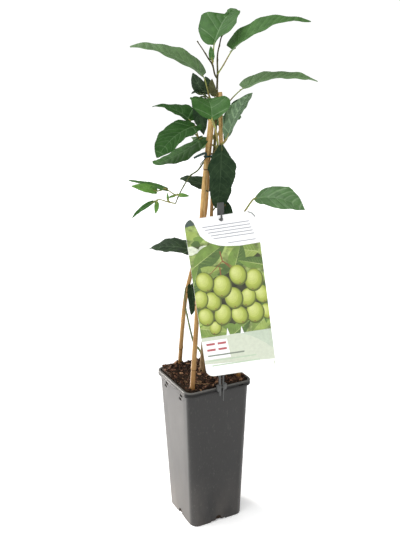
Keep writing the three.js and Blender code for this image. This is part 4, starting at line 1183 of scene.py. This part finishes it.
class Card(Shape):
    """The card, with its print laid on its front in thin layers."""

    def lay(self, spots, level):
        """Points at a level over the card's middle."""
        return self.add(CARD_PLACE @ Vector((x, y, level)) for x, y in spots)

    def print(self, ink, layer, corners):
        """One flat printed shape, its corners anticlockwise; what passes the card's long edges is cut."""
        for sign in (-1, 1):
            kept = []
            for (x0, y0), (x1, y1) in pairwise([*corners, corners[0]] if corners else ()):
                in0, in1 = x0 * sign <= PRINT_LIMIT, x1 * sign <= PRINT_LIMIT
                if in0:
                    kept.append((x0, y0))
                if in0 != in1:
                    edge = sign * PRINT_LIMIT
                    kept.append((edge, mix(y0, y1, (edge - x0) / (x1 - x0))))
            corners = kept
        if corners:
            self.face(self.lay(corners, CARD_FRONT + PRINT_STEP * layer), list(INKS).index(ink))

    def leaf(self, root, tip, width, ink, layer):
        """Two halves, one a tone darker, with a pale midrib and pale side veins."""
        root, tip = Vector(root), Vector(tip)
        along = tip - root
        way = along.normalized()
        side = Vector((-way.y, way.x))
        steps = range(SPINE_STEPS + 1)
        spine = [root + along * k / SPINE_STEPS for k in steps]
        reach = [sin(pi * (k / SPINE_STEPS) ** 0.8) * width / 2 for k in steps]
        left = [p + side * r for p, r in zip(spine, reach)]
        right = [p - side * r for p, r in zip(spine, reach)]
        self.print(ink, layer, spine + left[-2:0:-1])
        self.print(ink + "_shade", layer, right[:-1] + spine[:0:-1])
        self.print("rib", layer + 0.3, [root - side * 0.45, tip, root + side * 0.45])
        for k in range(1, SPINE_STEPS - 2):
            foot = [spine[k] - way * 0.3, spine[k] + way * 0.3]
            for edge in (left, right):
                vein = [*foot, spine[k].lerp(edge[k + 2], 0.85)]
                self.print(ink + "_vein", layer + 0.15, vein if edge is left else vein[::-1])

    def fruit(self, x, y, wide, high, turn, layer):
        """An oval with its shade round it, lighter in steps towards a patch of light."""
        def at(along, up):
            return Vector((x, y)) + Matrix.Rotation(turn, 2) @ Vector((along * wide / 2, up * high / 2))

        def oval(size, along, up):
            return [at(size * cos(a) + along, size * sin(a) + up) for a in around(28)]
        self.print("shade", layer - 0.2, oval(1.07, 0.08, -0.09))
        rows = []
        for step in range(BERRY_TONES):
            size = cos(0.47 * pi * step / BERRY_TONES)
            rim = [(max(-PRINT_LIMIT, min(PRINT_LIMIT, p.x)), p.y)
                   for p in oval(size, -0.4 * (1 - size), 0.5 * (1 - size))]
            rows.append(self.lay(rim, CARD_FRONT + PRINT_STEP * layer))
        for tone, (outer, inner) in enumerate(pairwise(rows), len(INKS)):
            self.strip(outer, inner, tone)
        self.face(rows[-1], tone + 1)
        end = at(0, -0.9)
        self.print("stem", layer + 0.2, [
            end + Vector(spoke(a, 1.2, 0.8)) for a in (0, 1.05, 2.1, 3.14, 4.2, 5.2)])


def card_edge(inset=0):
    ring = rounded(CARD_WIDTH - 2 * inset, CARD_HEIGHT - 2 * inset, CARD_CORNER - inset, 8)
    return [(x, y + CARD_TOP - CARD_HEIGHT / 2) for x, y in ring]


def label_card():
    """The card with its hole and its print: a made-up picture over a pale panel, and a corner for notes."""
    card = Card()
    edge = card_edge()
    hole = [spoke(atan2(y, x), CARD_HOLE_RADIUS) for x, y in edge]
    back, front, hole_back, hole_front = (
        card.lay(ring, level) for ring in (edge, hole) for level in (-CARD_FRONT, CARD_FRONT))
    for low, high in ((back, front), (front, hole_front), (hole_front, hole_back)):
        card.strip(low, high)
    card.strip(hole_back, back, 1)
    picture(card)
    for ink, layer, corners in NOTES:
        card.print(ink, layer, corners)
    panel(card)
    for ink, left, right, y, high in BARS:
        card.print(ink, 19, [(left, y), (right, y), (right, y + high), (left, y + high)])
    finishes = []
    for ink, (red, green, blue, *spread) in INKS.items():
        name = ("card_" if ink in ("white", "back") else "print_") + ink
        finishes.append(print_finish(name, colour(red, green, blue), *spread))
    for step in range(BERRY_TONES):
        share = step / (BERRY_TONES - 1)
        tone = between(colour(118, 132, 46), colour(174, 186, 82), min(1, share * 1.6))
        tone = between(tone, colour(212, 218, 144), max(0, share * 1.5 - 0.75))
        finishes.append(print_finish(f"print_berry_{step + 1}", tone))
    card.made("hanging_card", finishes, ["label_card"], 30)


def picture(card):
    """Pale green berries hanging among leaves."""
    for ink, layer, corners in GROUNDS:
        card.print(ink, layer, corners)
    for k, (x, y, size, ink) in enumerate(BLOTCHES):
        card.print(ink, 3 + k * 0.1, [
            (x + size * (1 + 0.2 * sin(3 * a + k)) * cos(a), y + 0.7 * size * sin(a))
            for a in around(24)])
    for k, leaf_form in enumerate(CARD_LEAVES):
        card.leaf(*leaf_form, 5 + k * 0.4)
    for k, (x0, y0, x1, y1) in enumerate(STEMS):
        card.print("stem", 10 + k * 0.1, [(x0, y0), (x1, y1), (x1 + 1.6, y1), (x0 + 1.8, y0)])
    for k, berry in enumerate(reversed(BERRIES)):
        card.fruit(*berry, 11 + k * 0.3)


def panel(card):
    """The pale panel at the foot, with a curve and two teeth along its top edge."""
    low = [p for p in card_edge(0.25) if p[1] < -200]
    card.print("panel", PANEL_LAYER, [(-49.75, PANEL_TOP), *low, (49.75, PANEL_TOP)])
    curve = [(mix(-2, 49.7, w), PANEL_TOP - 30 * w ** 1.8) for w in (0, 0.2, 0.4, 0.6, 0.8, 1)]
    card.print("panel_curve", 17, [*curve, (49.7, PANEL_TOP)])
    for ink, layer, corners in PANEL:
        card.print(ink, layer, corners)
    for x in (-14, 6):
        card.print("white", 19, [(x, PANEL_TOP - 1), (x + 5, PANEL_TOP - 1), (x + 2.5, PANEL_TOP + 10)])


def print_finish(name, tone, spread=0.05):
    """Coated card: ink, even or mottled, under a smooth film."""
    made = Finish(name, tone, 0.45)
    ink = made.grain(4 if spread < 0.1 else 9, 0.3, 0.7, detail=4)
    made.coat(made.tint(ink, 1 - spread, 1 + spread), ink, 0.28, 0.36)
    made.bump(made.grain(30, detail=1), 0.4, 0.2)
    return made


PEG_SPOT = (PLANT_TURN @ Vector(CARD_SPOT)) * Vector((1, 0, 1))
PEG_ROWS = [(1.7, -57.7), (1.7, -64.2), (2.5, -64.4), (2.5, -65), (2, -65.4)]
STICK = (-56.8, -58.6)
CLIP = (-55 - CLEARANCE, -59.5)
# The back and front of each flat piece of the stick, and its edge as seen from the front.
STICK_PLATES = [
    (STICK, [(-5.2, 266), (5.2, 266), (5.2, 500), (4.6, 507), (-4.6, 507), (-5.2, 500)]),
    (STICK, [(-4, 220), (-2.4, 220), (-1.4, 226), (-1, 270), (-5, 270), (-4.8, 226)]),
    (STICK, [(2, 211), (2.8, 211), (3.5, 226), (4.2, 270), (1.4, 270), (1.4, 226)]),
    (CLIP, [(-6.8, 228), (-2, 228), (-1.4, 229), (-1.4, 235.5), (-2.4, 236.5), (-6.4, 237.5), (-8, 236),
            (-8, 229.5)]),
    (CLIP, [(2.4, 228.5), (6.2, 229.5), (7.6, 231), (8, 237.5), (6.6, 239), (3, 238.5), (1.5, 237),
            (1.5, 229.5)]),
    ((-48.4, STICK[1]), [(-5, 232.3), (5, 232.3), (5, 233.8), (-5, 233.8)]),
    ((-48.4, -49.7), [(-4, 230.2), (4, 230.2), (4, 233), (-4, 233)]),
    ((-64.3, -65.3), [(-3.8, 484), (-1, 484), (-1.2, 496), (-3.4, 496)]),
]


def label_stick():
    """The flat stick behind the card, its peg and tongue through it, and its forked foot on the rim."""
    stick = Shape(UPRIGHT)
    for sides, edge in STICK_PLATES:
        stick.loft([[(x, y, z) for x, z in edge] for y in sides])
    stick.loft([[PEG_SPOT + Vector((dx, y, dz)) for dx, dz in (spoke(a, radius) for a in around(24))]
                for radius, y in PEG_ROWS])
    made = Finish("stick_plastic", colour(70, 71, 70))
    flow = made.grain(7, 0.3, 0.7, (1, 1, 4), 3)
    made.coat(made.tint(flow, 0.85, 1.15), flow, 0.32, 0.45)
    made.bump(made.grain(0.8), 0.08, 0.5)
    piece = stick.made("card_stick", [made], ["label_stick"])
    ease = piece.modifiers.new("eased", "BEVEL")
    ease.width = 0.3 * MM
    ease.segments = 3
    ease.limit_method = "ANGLE"
    ease.angle_limit = radians(40)
    settle(piece)


# The stage

EYE = Vector((-480.5, -936.9, 709.9)) * MM
AIM = Vector((-2.5, 1.3, 402)) * MM
LENS = 751 / 533 * 36
ROLL = radians(-0.86)
FLOOR_RINGS = (4000, 2000, 1000, 400)
PAPER_GLOW = 0.3
SKY_POWER, SKY_SPREAD = 2.6, 70
SKY_WAY = Vector((0.5, -0.1, -0.85))
LAMP_SPOT = Vector((-0.42, 0.85, 0.05))
LAMP_AIM = Vector((-0.03, 0, 0.04))
LAMP_POWER, LAMP_SIZE, LAMP_CONE = 395, 0.14, 24
LAMP_TONE = (1, 0.95, 0.9)


def faced(made, way):
    """Turns a camera or light to look along the way."""
    made.rotation_euler = way.to_track_quat("-Z", "Y").to_euler()


def camera():
    data = bpy.data.cameras.new("camera")
    data.lens = LENS
    data.clip_start = 0.05
    data.clip_end = 50
    made = linked("camera", data)
    made.location = EYE
    facing = (AIM - EYE).to_track_quat("-Z", "Y").to_matrix() @ Matrix.Rotation(ROLL, 3, "Z")
    made.rotation_euler = facing.to_euler()
    bpy.context.scene.camera = made


def floor():
    ground = Shape(UPRIGHT)
    rows = [ground.add((*spoke(a, reach), 0) for a in around(64)) for reach in FLOOR_RINGS]
    for low, high in pairwise(rows):
        ground.strip(low, high)
    ground.face(rows[-1])
    paper = Finish("studio_paper", (0.97, 0.97, 0.97, 1), 0.1)
    paper.paint("Emission Color", (1, 1, 1, 1))
    paper.paint("Emission Strength", PAPER_GLOW)
    paper.paint("Roughness", paper.range(paper.grain(40), 0.3, 0.7, 0.85, 0.95))
    linked("studio_floor", ground.mesh("studio_floor", [paper]))


def light():
    """A white studio, dimmer overhead than round the horizon, a soft sky and a lamp low behind the pot."""
    world = bpy.data.worlds.new("studio_white")
    world.use_nodes = True
    studio = Graph(world.node_tree)
    background = world.node_tree.nodes["Background"].inputs
    studio.feed(background["Strength"], studio.rise(0.1, 0.4, 1.05, 0.45, "Generated"))
    studio.feed(background["Color"], (1, 1, 1, 1))
    bpy.context.scene.world = world
    bpy.context.scene.view_settings.view_transform = "Standard"
    sky = bpy.data.lights.new("soft_sky", "SUN")
    sky.energy = SKY_POWER
    sky.angle = radians(SKY_SPREAD)
    faced(linked("soft_sky", sky), SKY_WAY)
    lamp = bpy.data.lights.new("low_back_left", "SPOT")
    lamp.shadow_soft_size = LAMP_SIZE
    lamp.energy = LAMP_POWER
    lamp.spot_size = radians(LAMP_CONE)
    lamp.spot_blend = 0.8
    lamp.color = LAMP_TONE
    made = linked("low_back_left", lamp)
    made.location = LAMP_SPOT
    made.visible_camera = False
    faced(made, LAMP_AIM - LAMP_SPOT)


for build in (pot, soil, chips, straws, vine, canes, cane_tie, foliage, label_card, label_stick, floor,
              camera, light):
    build()
